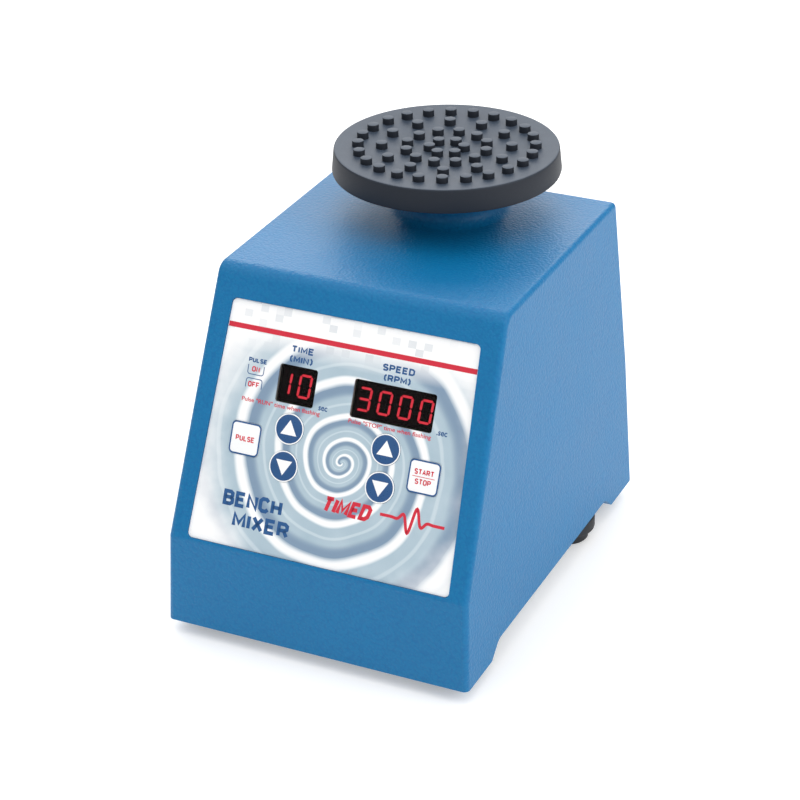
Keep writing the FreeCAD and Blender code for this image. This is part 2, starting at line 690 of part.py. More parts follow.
BOARD_REACH = "(window_height / 2 + board_margin - board_screw_inset)"
BOARD_CORNERS = corners("panel_high_width / 2 - panel_ledge - board_screw_inset",
                        [f"window_v - {BOARD_REACH}", f"window_v + {BOARD_REACH}"])
BOARD_EDGE = rectangle("0", "window_v", "panel_high_width - 2 * (panel_ledge + board_side_gap)",
                       "window_height + 2 * board_margin")
display_board = plate("display_board", [BOARD_EDGE, *[(u, v, "small_screw + fit") for u, v in BOARD_CORNERS]],
                      "board_thick", at(z="w_board - board_thick", frame="PanelFrame"))
NODES.append(display_board)
NODES.append(group("board_standoffs", [
    tube(f"board_standoff_{number}", "standoff_radius", "small_screw + fit", "w_recess - w_board",
         u, v, "w_board", "PanelFrame")
    for number, (u, v) in enumerate(BOARD_CORNERS)]))
NODES.append(screws("board_screws", BOARD_CORNERS, "board_thick + 4", "w_board - board_thick", 1,
                    "small_head", "small_screw", "PanelFrame"))

# ---------------------------------------------------------------- motor

mount_plate = plate("motor_mount_plate", [
    [("-mount_half", "motor_axis - stator_half + 2"), ("mount_half", "motor_axis - stator_half + 2"),
     ("mount_half", "motor_axis + stator_half - 2"), ("-mount_half", "motor_axis + stator_half - 2")],
    ("0", "motor_axis", "hub_radius"), *[(x, y, "grommet_radius") for x, y in MOUNT_SCREWS],
    *[(x, y, "screw_radius + fit") for x, y in MOTOR_BOLTS]], "mount_thick", at(z="z_mount_low"))
NODES.append(mount_plate)

grommets = []
for number, (x, y) in enumerate(MOUNT_SCREWS):
    sleeve = rod(f"grommet_{number}_sleeve", "grommet_radius - fit", "mount_thick + 2 * grommet_rim", x, y,
                 "z_mount_low - grommet_rim")
    rims = [rod(f"grommet_{number}_rim_{side}", "grommet_rim_radius", "grommet_rim", x, y, low)
            for side, low in enumerate(["z_mount_low - grommet_rim", "z_mount"])]
    hole = rod(f"grommet_{number}_hole", "screw_radius + fit", "mount_thick + 5", x, y, "z_mount_low - 2.5")
    grommets.append(cut(f"grommet_{number}", fuse(f"grommet_{number}_body", [sleeve, *rims]), [hole]))
NODES.append(group("mount_grommets", grommets))
NODES.append(screws("mount_screws", MOUNT_SCREWS, "mount_thick + mount_drop - 1",
                    "z_mount_low - grommet_rim", 1))

SLOTS = 6
SLOT_ANGLES = [number * 360 // SLOTS for number in range(SLOTS)]
SLOT_RING = [(f"(winding_radius - slot_inset) * cos({angle})",
              f"motor_axis + (winding_radius - slot_inset) * sin({angle})") for angle in SLOT_ANGLES]
NODES.append(plate("stator_stack", [
    rectangle("0", "motor_axis", "2 * stator_half", "2 * stator_half"),
    ("0", "motor_axis", "rotor_radius + air_gap"),
    *[(x, y, "slot_radius") for x, y in SLOT_RING],
    *[(x, y, "screw_radius + 4 * fit") for x, y in MOTOR_BOLTS]],
    "stator_thick", at(z="z_stator_low")))
turns = [tube(f"end_turns_{number}", "winding_radius", "end_bore", "winding_thick", y="motor_axis", z=low)
         for number, low in enumerate(["z_stator_top", "z_stator_low - winding_thick"])]
bars = [rod(f"slot_bar_{number}", "slot_radius - 2 * fit", "stator_thick + 2", x, y, "z_stator_low - 1")
        for number, (x, y) in enumerate(SLOT_RING)]
NODES.append(fuse("stator_winding", [*turns, *bars]))


def bracket(name, plate_z, cup_z, cup_thick, seat_z, leg_z):
    """An end bracket: a square plate, a cup for the bearing and four legs that stand on the stator."""
    body = block(name + "_plate", "2 * stator_half", "2 * stator_half - 4", "bracket_plate",
                 y="motor_axis", z=plate_z)
    cup = rod(name + "_cup", "cup_radius", cup_thick, y="motor_axis", z=cup_z)
    legs = [rod(f"{name}_leg_{number}", "leg_radius", "winding_thick + leg_gap", x, y, leg_z)
            for number, (x, y) in enumerate(MOTOR_BOLTS)]
    holes = [rod(f"{name}_hole_{number}", "screw_radius + fit", "60", x, y, f"{plate_z} - 30")
             for number, (x, y) in enumerate(MOTOR_BOLTS)]
    seat = rod(name + "_seat", "bearing_radius", "bearing_thick", y="motor_axis", z=seat_z)
    way = rod(name + "_way", "shaft_radius + 1", "60", y="motor_axis", z=f"{plate_z} - 30")
    return cut(name, fuse(name + "_body", [body, cup, *legs]), [seat, way, *holes])


NODES.append(bracket("upper_bracket", "z_mount_low - bracket_plate", "z_upper_bearing",
                     "bearing_thick + bracket_plate", "z_upper_bearing", "z_stator_top"))
NODES.append(bracket("lower_bracket", "z_lower_plate", "z_lower_plate", "bearing_thick + bracket_plate / 2",
                     "z_lower_bearing", "z_stator_low - winding_thick - leg_gap"))
for name, low in {"upper_bearing": "z_upper_bearing", "lower_bearing": "z_lower_bearing"}.items():
    NODES.append(tube(name, "bearing_radius", "shaft_radius + bearing_fit", "bearing_thick",
                      y="motor_axis", z=low))
NODES.append(screws("motor_bolts", MOTOR_BOLTS, "z_mount - z_lower_plate - 0.5", "z_lower_plate", 1))

# ---------------------------------------------------------------- rotor

NODES.append(rod("motor_shaft", "shaft_radius", "z_hub + hub_seat - (z_disc - 4)",
                 y="motor_axis", z="z_disc - 4"))
NODES.append(tube("rotor_core", "rotor_radius", "shaft_radius", "stator_thick - 2",
                  y="motor_axis", z="z_stator_low + 1"))

BLADES = 8
blades = []
for number in range(BLADES):
    place = at(0, "motor_axis", "z_fan", turn=f"vector(0; 0; 1); {number * 360 / BLADES}")
    blade = add("Part::Box", f"fan_blade_{number}", place, Length="fan_radius - 2", Width="blade_thick",
                Height="fan_thick - 1")
    blades.append(blade)
fan_disc = rod("fan_disc", "fan_radius", "fan_plate", y="motor_axis", z="z_fan + fan_thick - fan_plate")
fan_hub = rod("fan_hub", "fan_hub_radius", "fan_thick", y="motor_axis", z="z_fan")
fan_bore = rod("fan_bore", "shaft_radius", "fan_thick + 2", y="motor_axis", z="z_fan - 1")
NODES.append(cut("cooling_fan", fuse("fan_body", [fan_disc, fan_hub, *blades]), [fan_bore]))

TEETH = 12
tooth_gaps = []
for number in range(TEETH):
    place = (at(0, "motor_axis", "z_disc - 1", turn=f"vector(0; 0; 1); {number * 360 / TEETH}") + " * "
             + at("speed_disc_radius - tooth_depth", "-tooth_width / 2", 0))
    tooth_gaps.append(add("Part::Box", f"tooth_gap_{number}", place, Length="tooth_depth + 2",
                          Width="tooth_width", Height="speed_disc_thick + 2"))
disc_blank = rod("disc_blank", "speed_disc_radius", "speed_disc_thick", y="motor_axis", z="z_disc")
disc_bore = rod("disc_bore", "shaft_radius", "4", y="motor_axis", z="z_disc - 1")
NODES.append(cut("speed_disc", disc_blank, [disc_bore, *tooth_gaps]))

# The eccentric: a hub on the shaft, a half-round counterweight, and the crank pin off centre by the throw.
hub = rod("eccentric_hub_body", "hub_radius", "hub_thick", y="motor_axis", z="z_hub")
weight = add("Part::Cylinder", "counterweight_half", at(0, "motor_axis", "z_hub + 1"),
             Radius="counterweight_radius", Height="hub_thick - 2", Angle="180")
hub_bore = rod("hub_bore", "shaft_radius", "hub_seat + 1", y="motor_axis", z="z_hub - 1")
pin_bore = rod("pin_bore", "pin_radius", "hub_thick", y="y_head", z="z_hub + hub_seat")
NODES.append(cut("eccentric", fuse("eccentric_body", [hub, weight]), [hub_bore, pin_bore]))
NODES.append(rod("crank_pin", "pin_radius", "z_cup + bearing_thick + 0.5 - (z_hub + hub_seat)",
                 y="y_head", z="z_hub + hub_seat"))

# ---------------------------------------------------------------- drive head

NODES.append(tube("crank_bearing", "bearing_radius", "pin_radius + bearing_fit", "bearing_thick",
                  y="y_head", z="z_cup + 0.5"))
head_body = rod("head_body", "head_radius", "z_shoulder - z_cup", y="y_head", z="z_cup")
head_stud = rod("head_stud", "stud_radius", "z_plate_top - 1 - z_shoulder",
                y="y_head", z="z_shoulder")
head_bore = rod("head_bore", "bearing_radius", "bearing_thick + 1.5", y="y_head", z="z_cup - 1")
head_relief = rod("head_relief", "bearing_radius - 2", "1.5", y="y_head", z="z_cup + bearing_thick + 0.5")
NODES.append(cut("drive_head", fuse("head_blank", [head_body, head_stud]), [head_bore, head_relief]))
NODES.append(tube("drive_boot", "boot_radius", "head_radius", "z_shoulder - z_cup - 1",
                  y="y_head", z="z_cup + 0.5"))

# ---------------------------------------------------------------- platform

# The rubber cover is a shallow flared cup, upside down, over a rigid plate. Its top is slightly dished,
# and four rings of nubs stand on it. Each ring has its number of nubs and the angle of its first one; the
# rings are evenly spaced.
RINGS = [(6, 21.5), (12, 6.3), (12, 21.0), (24, 6.2)]
cover_blank = add("Part::Cone", "cover_blank", at(0, "y_head", "z_platform"),
                  Radius1="platform_radius + platform_flare", Radius2="platform_radius",
                  Height="platform_thick")
cover_edge = rounded("cover_edge", cover_blank,
                     ("cover_round", lambda edge: isinstance(edge.Curve, Part.Circle)))
cover_hollow = rod("cover_hollow", "platform_radius - cover_wall", "z_plate_top - z_platform + 1",
                   y="y_head", z="z_platform - 1")
cover_dish = add("Part::Sphere", "cover_dish", at(0, "y_head", "z_dish + dish_radius"), Radius="dish_radius")
cover_cup = cut("cover_cup", cover_edge, [cover_hollow, cover_dish])
nubs = []
for ring, (count, start) in enumerate(RINGS):
    radius = f"(inner_ring + {ring} * (platform_radius - rim_margin - inner_ring) / {len(RINGS) - 1})"
    rise = f"dish_depth * ({radius} / platform_radius) ^ 2"
    for number in range(count):
        angle = start + number * 360 / count
        nubs.append(rod(f"nub_{ring}_{number}", "nub_radius", f"nub_height + 0.5 + {rise}",
                        f"{radius} * cos({angle})", f"y_head + {radius} * sin({angle})", "z_dish - 0.5"))
NODES.append(fuse("platform_cover", [cover_cup, *nubs]))

plate_disc = rod("plate_disc", "platform_radius - cover_wall - fit", "z_plate_top - z_platform - plate_sink",
                 y="y_head", z="z_platform + plate_sink")
plate_neck = rod("plate_neck", "stud_radius + neck_wall", "z_platform + 1 - z_shoulder",
                 y="y_head", z="z_shoulder")
plate_socket = rod("plate_socket", "stud_radius + fit", "z_plate_top + 0.2 - z_shoulder",
                   y="y_head", z="z_shoulder - 1")
NODES.append(cut("platform_plate", fuse("plate_body", [plate_disc, plate_neck]), [plate_socket]))

# ---------------------------------------------------------------- speed sensor, power board

sensor_x = "-speed_disc_radius - 3"
sensor_post = block("sensor_post", "5", "8", "z_disc - z_base_top",
                    f"{sensor_x} - 2", "motor_axis", "z_base_top")
sensor_fork = block("sensor_fork", "12", "8", "z_fan - 1 - (z_disc - 5)",
                    f"{sensor_x} + 1.5", "motor_axis", "z_disc - 5")
sensor_slot = block("sensor_slot", "10", "12", "3.2", f"{sensor_x} + 4.5", "motor_axis", "z_disc - 1")
NODES.append(cut("speed_sensor", fuse("sensor_body", [sensor_post, sensor_fork]), [sensor_slot]))

NODES.append(plate("power_board", [[
    ("-power_board_half", "-power_board_front"), ("power_board_half", "-power_board_front"),
    ("power_board_half", "-power_board_back"), ("-power_board_half", "-power_board_back")],
    *[(x, y, "small_screw + fit") for x, y in STANDOFFS]], "board_thick", at(z="z_board")))
NODES.append(group("power_board_standoffs", [
    tube(f"power_standoff_{number}", "standoff_radius", "small_screw + fit", "standoff_height",
         x, y, "z_base_top")
    for number, (x, y) in enumerate(STANDOFFS)]))
NODES.append(screws("power_board_screws", STANDOFFS, "board_thick + 4", "z_board_top", -1,
                    "small_head", "small_screw"))
core = block("transformer_core", "core_width", "core_depth", "core_height",
             "transformer_x", "-power_board_front + transformer_inset", "z_board_top + 2")
bobbin = block("transformer_bobbin", "bobbin_width", "bobbin_depth", "bobbin_height",
               "transformer_x", "-power_board_front + transformer_inset", "z_board_top")
NODES.append(fuse("transformer", [core, bobbin]))
NODES.append(rod("motor_capacitor", "capacitor_radius", "capacitor_height",
                 "capacitor_x", "-power_board_front + capacitor_inset", "z_board_top"))
FINS = 5
sink_base = block("sink_base", "sink_width", "sink_thick", "sink_height",
                  "sink_x", "-power_board_back - sink_inset", "z_board_top")
sink_fins = [block(f"sink_fin_{number}", "fin_thick", "fin_depth", "sink_height",
                   f"sink_x + {number - (FINS - 1) / 2} * fin_pitch",
                   "-power_board_back - sink_inset + fin_depth / 2", "z_board_top")
             for number in range(FINS)]
NODES.append(fuse("heat_sink", [sink_base, *sink_fins]))

# The flat cable drops from the display board to the power board.
RIBBON = [("y_break + 36.2", "z_break + 50.5"), ("y_break + 46", "z_break + 38"),
          ("y_break + 50", "z_board + 16"), ("y_break + 50", "z_board_top")]
RIBBON_LOOP = RIBBON + [(f"{y} + ribbon_thick", z) for y, z in reversed(RIBBON)]
ribbon = prism("display_ribbon", RIBBON_LOOP, "ribbon_width", "X")
ribbon.setExpression("Placement", at("ribbon_x", 0, 0))
NODES.append(ribbon)

# ---------------------------------------------------------------- mains module, on the back wall

module_flange = block("module_flange_plate", "module_width", "module_height", "module_flange",
                      0, "v_module", "-module_flange", "RearFrame")
module_case = block("module_case", "drawer_width + 5", "module_height - 4", "module_depth",
                    "u_socket", "v_module", "-module_flange - module_depth", "RearFrame")
socket_hole = block("socket_hole", "socket_width", "socket_height", "socket_depth + 1",
                    "u_socket", "v_socket", "-socket_depth", "RearFrame")
drawer_hole = block("drawer_hole", "drawer_width + 4 * fit", "drawer_height + 4 * fit", "module_depth",
                    "u_socket", "v_drawer", "-module_depth + 1", "RearFrame")
switch_hole = block("switch_hole", "switch_width - 1 + 2 * fit", "switch_height - 1 + 2 * fit", "30",
                    "u_switch", "v_module", "-20", "RearFrame")
PINS = [("u_socket - 7", "v_socket - 1.5"), ("u_socket + 7", "v_socket - 1.5"),
        ("u_socket", "v_socket + 2.5")]
pin_holes = [block(f"pin_hole_{number}", "pin_width + 2 * fit", "pin_height + 2 * fit", "20",
                   u, v, "-socket_depth - 12", "RearFrame")
             for number, (u, v) in enumerate(PINS)]
flange_holes = [rod(f"flange_hole_{number}_{low[-4:]}", size, "10", u, v, low, "RearFrame")
                for number, (u, v) in enumerate(MODULE_SCREWS)
                for size, low in (("small_screw + fit", "-8"), ("inlet_screw_head + fit", "-flange_sink"))]
NODES.append(cut("power_inlet", fuse("module_body", [module_flange, module_case]),
                 [socket_hole, drawer_hole, switch_hole, *pin_holes, *flange_holes]))
NODES.append(group("inlet_pins", [
    block(f"inlet_pin_{number}", "pin_width", "pin_height", "socket_depth + 10",
          u, v, "-socket_depth - 15", "RearFrame")
    for number, (u, v) in enumerate(PINS)]))
NODES.append(screws("inlet_screws", MODULE_SCREWS, "4", "-flange_sink", -1, "inlet_screw_head",
                    "small_screw", "RearFrame", "flange_sink"))

drawer_face = block("drawer_face", "drawer_width", "drawer_height", "2",
                    "u_socket", "v_drawer", "-1.4", "RearFrame")
drawer_tray = block("drawer_tray", "drawer_width - 1", "drawer_height - 0.8", "module_depth - 4.5",
                    "u_socket", "v_drawer", "-module_depth + 3.5", "RearFrame")
FUSE_DEPTHS = ["-module_depth + 7.5", "-module_depth + 14"]
fuse_rooms = [block(f"fuse_room_{number}", "fuse_length + 0.4", "drawer_height", "2 * fuse_radius + 0.4",
                    "u_socket", "v_drawer + 1", f"{depth} - fuse_radius - 0.2", "RearFrame")
              for number, depth in enumerate(FUSE_DEPTHS)]
NODES.append(cut("fuse_drawer", fuse("drawer_body", [drawer_face, drawer_tray]), fuse_rooms))
NODES.append(group("fuses", [
    rod(f"fuse_{number}", "fuse_radius", "fuse_length", "u_socket - fuse_length / 2", "v_drawer + 0.4",
        depth, "RearFrame", "vector(0; 1; 0); 90")
    for number, depth in enumerate(FUSE_DEPTHS)]))

switch_case = block("switch_case", "switch_width - 1", "switch_height - 1", "16",
                    "u_switch", "v_module", "-16", "RearFrame")
switch_rim = block("switch_rim", "switch_width + 1", "switch_height + 1", "0.8",
                   "u_switch", "v_module", "0", "RearFrame")
switch_room = block("switch_room", "switch_width - 3", "switch_height - 3", "20",
                    "u_switch", "v_module", "-9", "RearFrame")
pivot_hole = rod("pivot_hole", "1 + fit", "switch_width - 2", "u_switch - switch_width / 2 + 1", "v_module",
                 "-3", "RearFrame", "vector(0; 1; 0); 90")
NODES.append(cut("switch_frame", fuse("switch_blank", [switch_case, switch_rim]), [switch_room, pivot_hole]))
# The rocker's outline, from its pivot: along the wall, then outward. It rests with its lower end sunk.
ROCKER_HALF = "(switch_height / 2 - 2.6)"
ROCKER = [(f"-{ROCKER_HALF}", "-2.2"), ("0", "-4.5"), (ROCKER_HALF, "-0.5"), (ROCKER_HALF, "4.6"),
          ("0", "2.4"), (f"-{ROCKER_HALF}", "2.0")]
rocker_body = plate("rocker_body", [ROCKER], "switch_width - 3.6",
                    at("u_switch - switch_width / 2 + 1.8", "v_module", "-3", "RearFrame",
                       "vector(1; 1; 1); 120"))
rocker_pin = rod("rocker_pin", "1", "switch_width - 2.4", "u_switch - switch_width / 2 + 1.2", "v_module",
                 "-3", "RearFrame", "vector(0; 1; 0); 90")
NODES.append(fuse("power_rocker", [rocker_body, rocker_pin]))

# ---------------------------------------------------------------- write the parts

doc.recompute()
faults = [item.Name for item in doc.Objects if "Invalid" in item.State or "Error" in item.State]
if faults:
    raise RuntimeError(f"these objects failed: {faults}")
for node in NODES:
    if node.Shape.isNull() or not node.Shape.isValid() or not node.Shape.Solids:
        raise RuntimeError(f"{node.Label} has no valid solid")

os.makedirs("parts", exist_ok=True)
for node in NODES:
    node.Shape.exportStep(os.path.join("parts", node.Label + ".step"))
    box = node.Shape.BoundBox
    print(f"{node.Label:24s} solids {len(node.Shape.Solids):2d} volume {node.Shape.Volume:11.2f}"
          f"  x {box.XMin:7.1f} {box.XMax:7.1f}  y {box.YMin:7.1f} {box.YMax:7.1f}"
          f"  z {box.ZMin:6.1f} {box.ZMax:6.1f}")
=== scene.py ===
import json
import math

import bmesh
import bpy
from mathutils import Matrix, Vector


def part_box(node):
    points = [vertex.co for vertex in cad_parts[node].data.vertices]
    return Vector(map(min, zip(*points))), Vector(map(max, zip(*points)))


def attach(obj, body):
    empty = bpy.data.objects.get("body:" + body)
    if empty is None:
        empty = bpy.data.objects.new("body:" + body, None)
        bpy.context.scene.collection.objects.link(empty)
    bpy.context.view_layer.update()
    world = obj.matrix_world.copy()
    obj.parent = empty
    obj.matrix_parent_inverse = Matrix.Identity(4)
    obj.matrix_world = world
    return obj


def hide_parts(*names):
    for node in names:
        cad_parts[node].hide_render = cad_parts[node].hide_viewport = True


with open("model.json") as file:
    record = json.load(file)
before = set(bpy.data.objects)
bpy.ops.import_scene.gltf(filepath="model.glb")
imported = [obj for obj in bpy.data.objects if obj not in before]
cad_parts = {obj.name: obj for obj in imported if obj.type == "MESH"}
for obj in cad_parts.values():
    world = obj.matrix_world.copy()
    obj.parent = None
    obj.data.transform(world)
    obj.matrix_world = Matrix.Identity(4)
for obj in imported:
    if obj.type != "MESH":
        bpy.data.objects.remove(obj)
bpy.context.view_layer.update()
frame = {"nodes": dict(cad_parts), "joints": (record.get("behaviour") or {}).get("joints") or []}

mm = 0.001

# ---- Studio
# A lit product table: white acrylic with a little light from below, a wide soft ceiling, one soft box
# behind and one to the right. The camera looks down on the front and the right side from a metre away.

scene = bpy.context.scene
scene.view_settings.view_transform = "Standard"

camera_data = bpy.data.cameras.new("camera")
camera_data.lens = 111.5
camera_data.sensor_width = 36.0
camera_data.clip_start = 0.05
camera = bpy.data.objects.new("camera", camera_data)
scene.collection.objects.link(camera)
CAMERA_TURN, CAMERA_DOWN, CAMERA_ROLL = math.radians(25.50), math.radians(28.11), math.radians(-1.02)
camera.matrix_world = (Matrix.Translation((0.3537, -0.7485, 0.5121))
                       @ Matrix.Rotation(CAMERA_TURN, 4, "Z")
                       @ Matrix.Rotation(math.pi / 2 - CAMERA_DOWN, 4, "X")
                       @ Matrix.Rotation(CAMERA_ROLL, 4, "Z"))
scene.camera = camera


def linear(code):
    """An sRGB hex colour as linear red, green, blue and alpha."""
    parts = [int(code[spot:spot + 2], 16) / 255 for spot in (1, 3, 5)]
    return [part / 12.92 if part <= 0.04045 else ((part + 0.055) / 1.055) ** 2.4 for part in parts] + [1.0]


def put(tree, node, inputs):
    """Set a node's inputs: a plain value is set, and a socket or a node (its first output) is linked."""
    for key, value in inputs.items():
        if isinstance(value, bpy.types.Node):
            value = value.outputs[0]
        if isinstance(value, bpy.types.NodeSocket):
            tree.links.new(value, node.inputs[key])
        else:
            node.inputs[key].default_value = value
    return node


def add(tree, kind, inputs, **settings):
    """Add a node with its settings and links."""
    node = tree.nodes.new("ShaderNode" + kind)
    for key, value in settings.items():
        setattr(node, key, value)
    return put(tree, node, inputs)


def new_material(name):
    """A material with its shader, and the place on the object in metres."""
    material = bpy.data.materials.new(name)
    material.use_nodes = True
    tree = material.node_tree
    return material, tree, tree.nodes["Principled BSDF"], add(tree, "TexCoord", {}).outputs["Object"]


def soft_box(name, place, aim, size, power):
    """A square studio lamp behind a diffuser."""
    lamp = bpy.data.lights.new(name, "AREA")
    lamp.shape = "SQUARE"
    lamp.size = size
    lamp.energy = power
    holder = bpy.data.objects.new(name, lamp)
    holder.location = place
    holder.rotation_mode = "QUATERNION"
    holder.rotation_quaternion = (Vector(aim) - Vector(place)).to_track_quat("-Z", "Y")
    scene.collection.objects.link(holder)


soft_box("soft_box_behind", (-0.55, 1.25, 0.85), (0.0, 0.0, 0.13), 1.2, 12.0)
soft_box("soft_box_right", (1.5, -0.1, 0.9), (0.0, 0.0, 0.07), 1.0, 8.0)

# The room is bright overhead and dim near the floor; behind the object the picture stays white.
world = bpy.data.worlds.new("soft_ceiling")
world.use_nodes = True
tree = world.node_tree
height = add(tree, "SeparateXYZ", {"Vector": add(tree, "TexCoord", {}).outputs["Generated"]}).outputs["Z"]
ceiling = add(tree, "MapRange", {"Value": height, "To Min": 0.08, "To Max": 1.65})
seen = add(tree, "LightPath", {}).outputs["Is Camera Ray"]
put(tree, tree.nodes["Background"], {
    "Color": (1.0, 1.0, 1.0, 1.0),
    "Strength": add(tree, "MapRange", {"Value": seen, "To Min": ceiling, "To Max": 1.0})})
scene.world = world

# Opal acrylic: white, satin, glowing a little from the lamps under it, with a trace of clouding.
opal, tree, shader, place = new_material("opal_acrylic_table")
clouding = add(tree, "TexNoise", {"Vector": place, "Scale": 1 / (30 * mm), "Detail": 2.0})
put(tree, shader, {
    "Base Color": add(tree, "MixRGB", {"Fac": clouding, "Color1": linear("#E9E9E9"), "Color2": linear("#EDEDED")}),
    "Roughness": 0.7, "Specular IOR Level": 0.1,
    "Emission Color": (1.0, 1.0, 1.0, 1.0), "Emission Strength": 0.28})
sheet = bmesh.new()
bmesh.ops.create_grid(sheet, x_segments=2, y_segments=2, size=4.0)
floor = bpy.data.objects.new("floor", bpy.data.meshes.new("floor"))
sheet.to_mesh(floor.data)
sheet.free()
floor.data.materials.append(opal)
scene.collection.objects.link(floor)

# ---- Housing
# One die-cast aluminium shell, sprayed blue over a fine leather grain that is in the mould, and
# screwed from below. The collar round the drive is part of it.

ENAMEL_GRAIN = 1.0 * mm

# Blue enamel on a grained casting: small pads with thin creases, which break up every highlight. The creases are
# painted a darker blue, as painted shade.
enamel, tree, shader, place = new_material("blue_enamel_on_grained_casting")
wander = add(tree, "TexNoise", {"Vector": place, "Scale": 1 / (2.2 * mm), "Detail": 2.0})
bent = add(tree, "VectorMath", {0: place, 1: add(tree, "VectorMath", {
    0: wander.outputs["Color"], "Scale": 0.9 * mm}, operation="SCALE")}, operation="ADD")
pads = add(tree, "TexVoronoi", {"Vector": bent, "Scale": 1 / ENAMEL_GRAIN, "Randomness": 0.95},
           feature="SMOOTH_F1")
speck = add(tree, "TexNoise", {"Vector": place, "Scale": 1 / (0.5 * mm), "Detail": 2.0})
relief = add(tree, "Math", {0: speck, 1: 0.35, 2: pads.outputs["Distance"]}, operation="MULTIPLY_ADD")
patch = add(tree, "TexNoise", {"Vector": place, "Scale": 1 / (28 * mm), "Detail": 2.0})
tone = add(tree, "MixRGB", {"Fac": patch, "Color1": linear("#066CA0"), "Color2": linear("#0773A8")})
# Painted shade: where the grain's pads meet, the blue is drawn darker.
crease_painted_shade = add(tree, "MapRange", {"Value": pads.outputs["Distance"], "From Min": 0.3, "From Max": 0.7,
                                "To Min": 0.0, "To Max": 0.5})
put(tree, shader, {
    "Base Color": add(tree, "MixRGB", {"Fac": crease_painted_shade, "Color1": tone, "Color2": linear("#04609A")}),
    "Roughness": add(tree, "MapRange", {"Value": patch, "To Min": 0.38, "To Max": 0.46}),
    "IOR": 1.5, "Specular IOR Level": 0.3,
    "Normal": add(tree, "Bump", {"Height": relief, "Strength": 1.0, "Distance": 0.2 * mm}, invert=True)})


def dress(material, *names):
    """Give CAD nodes a material in all their slots."""
    for name in names:
        for material_slot in frame["nodes"][name].material_slots:
            material_slot.material = material


dress(enamel, "housing_shell")


def ease(name, width):
    """Break a CAD node's sharp edges, as a deburred or moulded part has them."""
    node = frame["nodes"][name]
    weld = node.modifiers.new("weld", "WELD")
    weld.merge_threshold = 0.005 * mm
    bevel = node.modifiers.new("bevel", "BEVEL")
    bevel.width = width
    bevel.segments = 2
    bevel.limit_method = "ANGLE"
    bevel.angle_limit = math.radians(40)


ease("housing_shell", 0.5 * mm)

# ---- Base plate and its screws
# Zinc-plated steel sheet that closes the shell from below and carries the feet and the power board,
# held by four pan-head screws into the casting.

SCREW_HEAD = 3.6 * mm
SCREW_HEAD_HEIGHT = 2.0 * mm

# Electroplated zinc: a cool grey metal, dulled in soft patches by its passivation.
zinc, tree, shader, place = new_material("zinc_plated_sheet_steel")
clouds = add(tree, "TexNoise", {"Vector": place, "Scale": 1 / (9 * mm), "Detail": 4.0})
rolling = add(tree, "TexNoise", {"Vector": add(tree, "Mapping", {"Vector": place, "Scale": (1.0, 0.06, 1.0)}),
                                 "Scale": 1 / (0.4 * mm), "Detail": 2.0})
put(tree, shader, {
    "Base Color": add(tree, "MixRGB", {"Fac": clouds, "Color1": linear("#A9ADB2"), "Color2": linear("#C3C5C4")}),
    "Metallic": 1.0,
    "Roughness": add(tree, "MapRange", {"Value": clouds, "To Min": 0.32, "To Max": 0.5}),
    "Normal": add(tree, "Bump", {"Height": rolling, "Strength": 0.3, "Distance": 0.02 * mm})})
dress(zinc, "base_plate")


def finish_piece(name, shape, material, smooth_below=35):
    """Turn a bmesh into an object with smooth curves and crisp edges."""
    bmesh.ops.recalc_face_normals(shape, faces=shape.faces)
    mesh = bpy.data.meshes.new(name)
    shape.to_mesh(mesh)
    shape.free()
    mesh.polygons.foreach_set("use_smooth", [True] * len(mesh.polygons))
    mesh.set_sharp_from_angle(angle=math.radians(smooth_below))
    piece = bpy.data.objects.new(name, mesh)
    piece.data.materials.append(material)
    scene.collection.objects.link(piece)
    return piece


def skin(shape, loops, ends=True):
    """Skin loops of points in turn. A loop of one point is a tip, and the ends are capped or joined."""
    rings = [[shape.verts.new(point) for point in loop] for loop in loops]
    for near, far in zip(rings, rings[1:] if ends else rings[1:] + rings[:1]):
        count = max(len(near), len(far))
        for step in range(count):
            after = (step + 1) % count
            around = [near[step % len(near)], near[after % len(near)],
                      far[after % len(far)], far[step % len(far)]]
            shape.faces.new(list(dict.fromkeys(around)))
    if ends:
        for ring in (rings[0], rings[-1]):
            if len(ring) > 1:
                shape.faces.new(ring)


def circle(radius, height, count, centre=(0.0, 0.0)):
    """Points round a circle in a local frame, or one point where the radius is nothing."""
    if radius == 0:
        return [Vector((centre[0], centre[1], height))]
    turns = [2 * math.pi * step / count for step in range(count)]
    return [Vector((centre[0] + radius * math.cos(turn), centre[1] + radius * math.sin(turn), height))
            for turn in turns]


def turned(shape, frame_matrix, profile, count):
    """Spin (radius, height) pairs about a local frame's Z."""
    skin(shape, [[frame_matrix @ point for point in circle(radius, height, count)]
                 for radius, height in profile])


def cross_head(shape, frame_matrix, radius, height):
    """A pan head with a cross recess, standing on a local frame's XY plane."""
    half, reach, depth = 0.17 * radius, 0.58 * radius, 0.55 * height
    dome = [(1.0, 0.0), (1.0, 0.45), (0.93, 0.72), (0.78, 0.9), (0.6, 1.0)]
    rings = [circle(radius * share, height * rise, 32) for share, rise in dome]
    # The recess is a plus of twelve corners: three for each quarter.
    plus = [(half, half), (reach, half), (reach, -half), (half, -half), (half, -reach), (-half, -reach),
            (-half, -half), (-reach, -half), (-reach, half), (-half, half), (-half, reach), (half, reach)]
    lip = [Vector((x, y, height)) for x, y in plus]
    floor_of_cross = [Vector((x * 0.75, y * 0.75, height - depth)) for x, y in plus]
    made = [[shape.verts.new(frame_matrix @ point) for point in ring] for ring in (*rings, lip, floor_of_cross)]
    for near, far in [*zip(made[:4], made[1:5]), (made[5], made[6])]:
        for step in range(len(near)):
            after = (step + 1) % len(near)
            shape.faces.new([near[step], near[after], far[after], far[step]])
    shape.faces.new(made[0])
    shape.faces.new(made[6])
    bmesh.ops.bridge_loops(shape, edges=[edge for ring in (made[4], made[5]) for edge in
                                         {e for vert in ring for e in vert.link_edges
                                          if e.other_vert(vert) in set(ring)}])


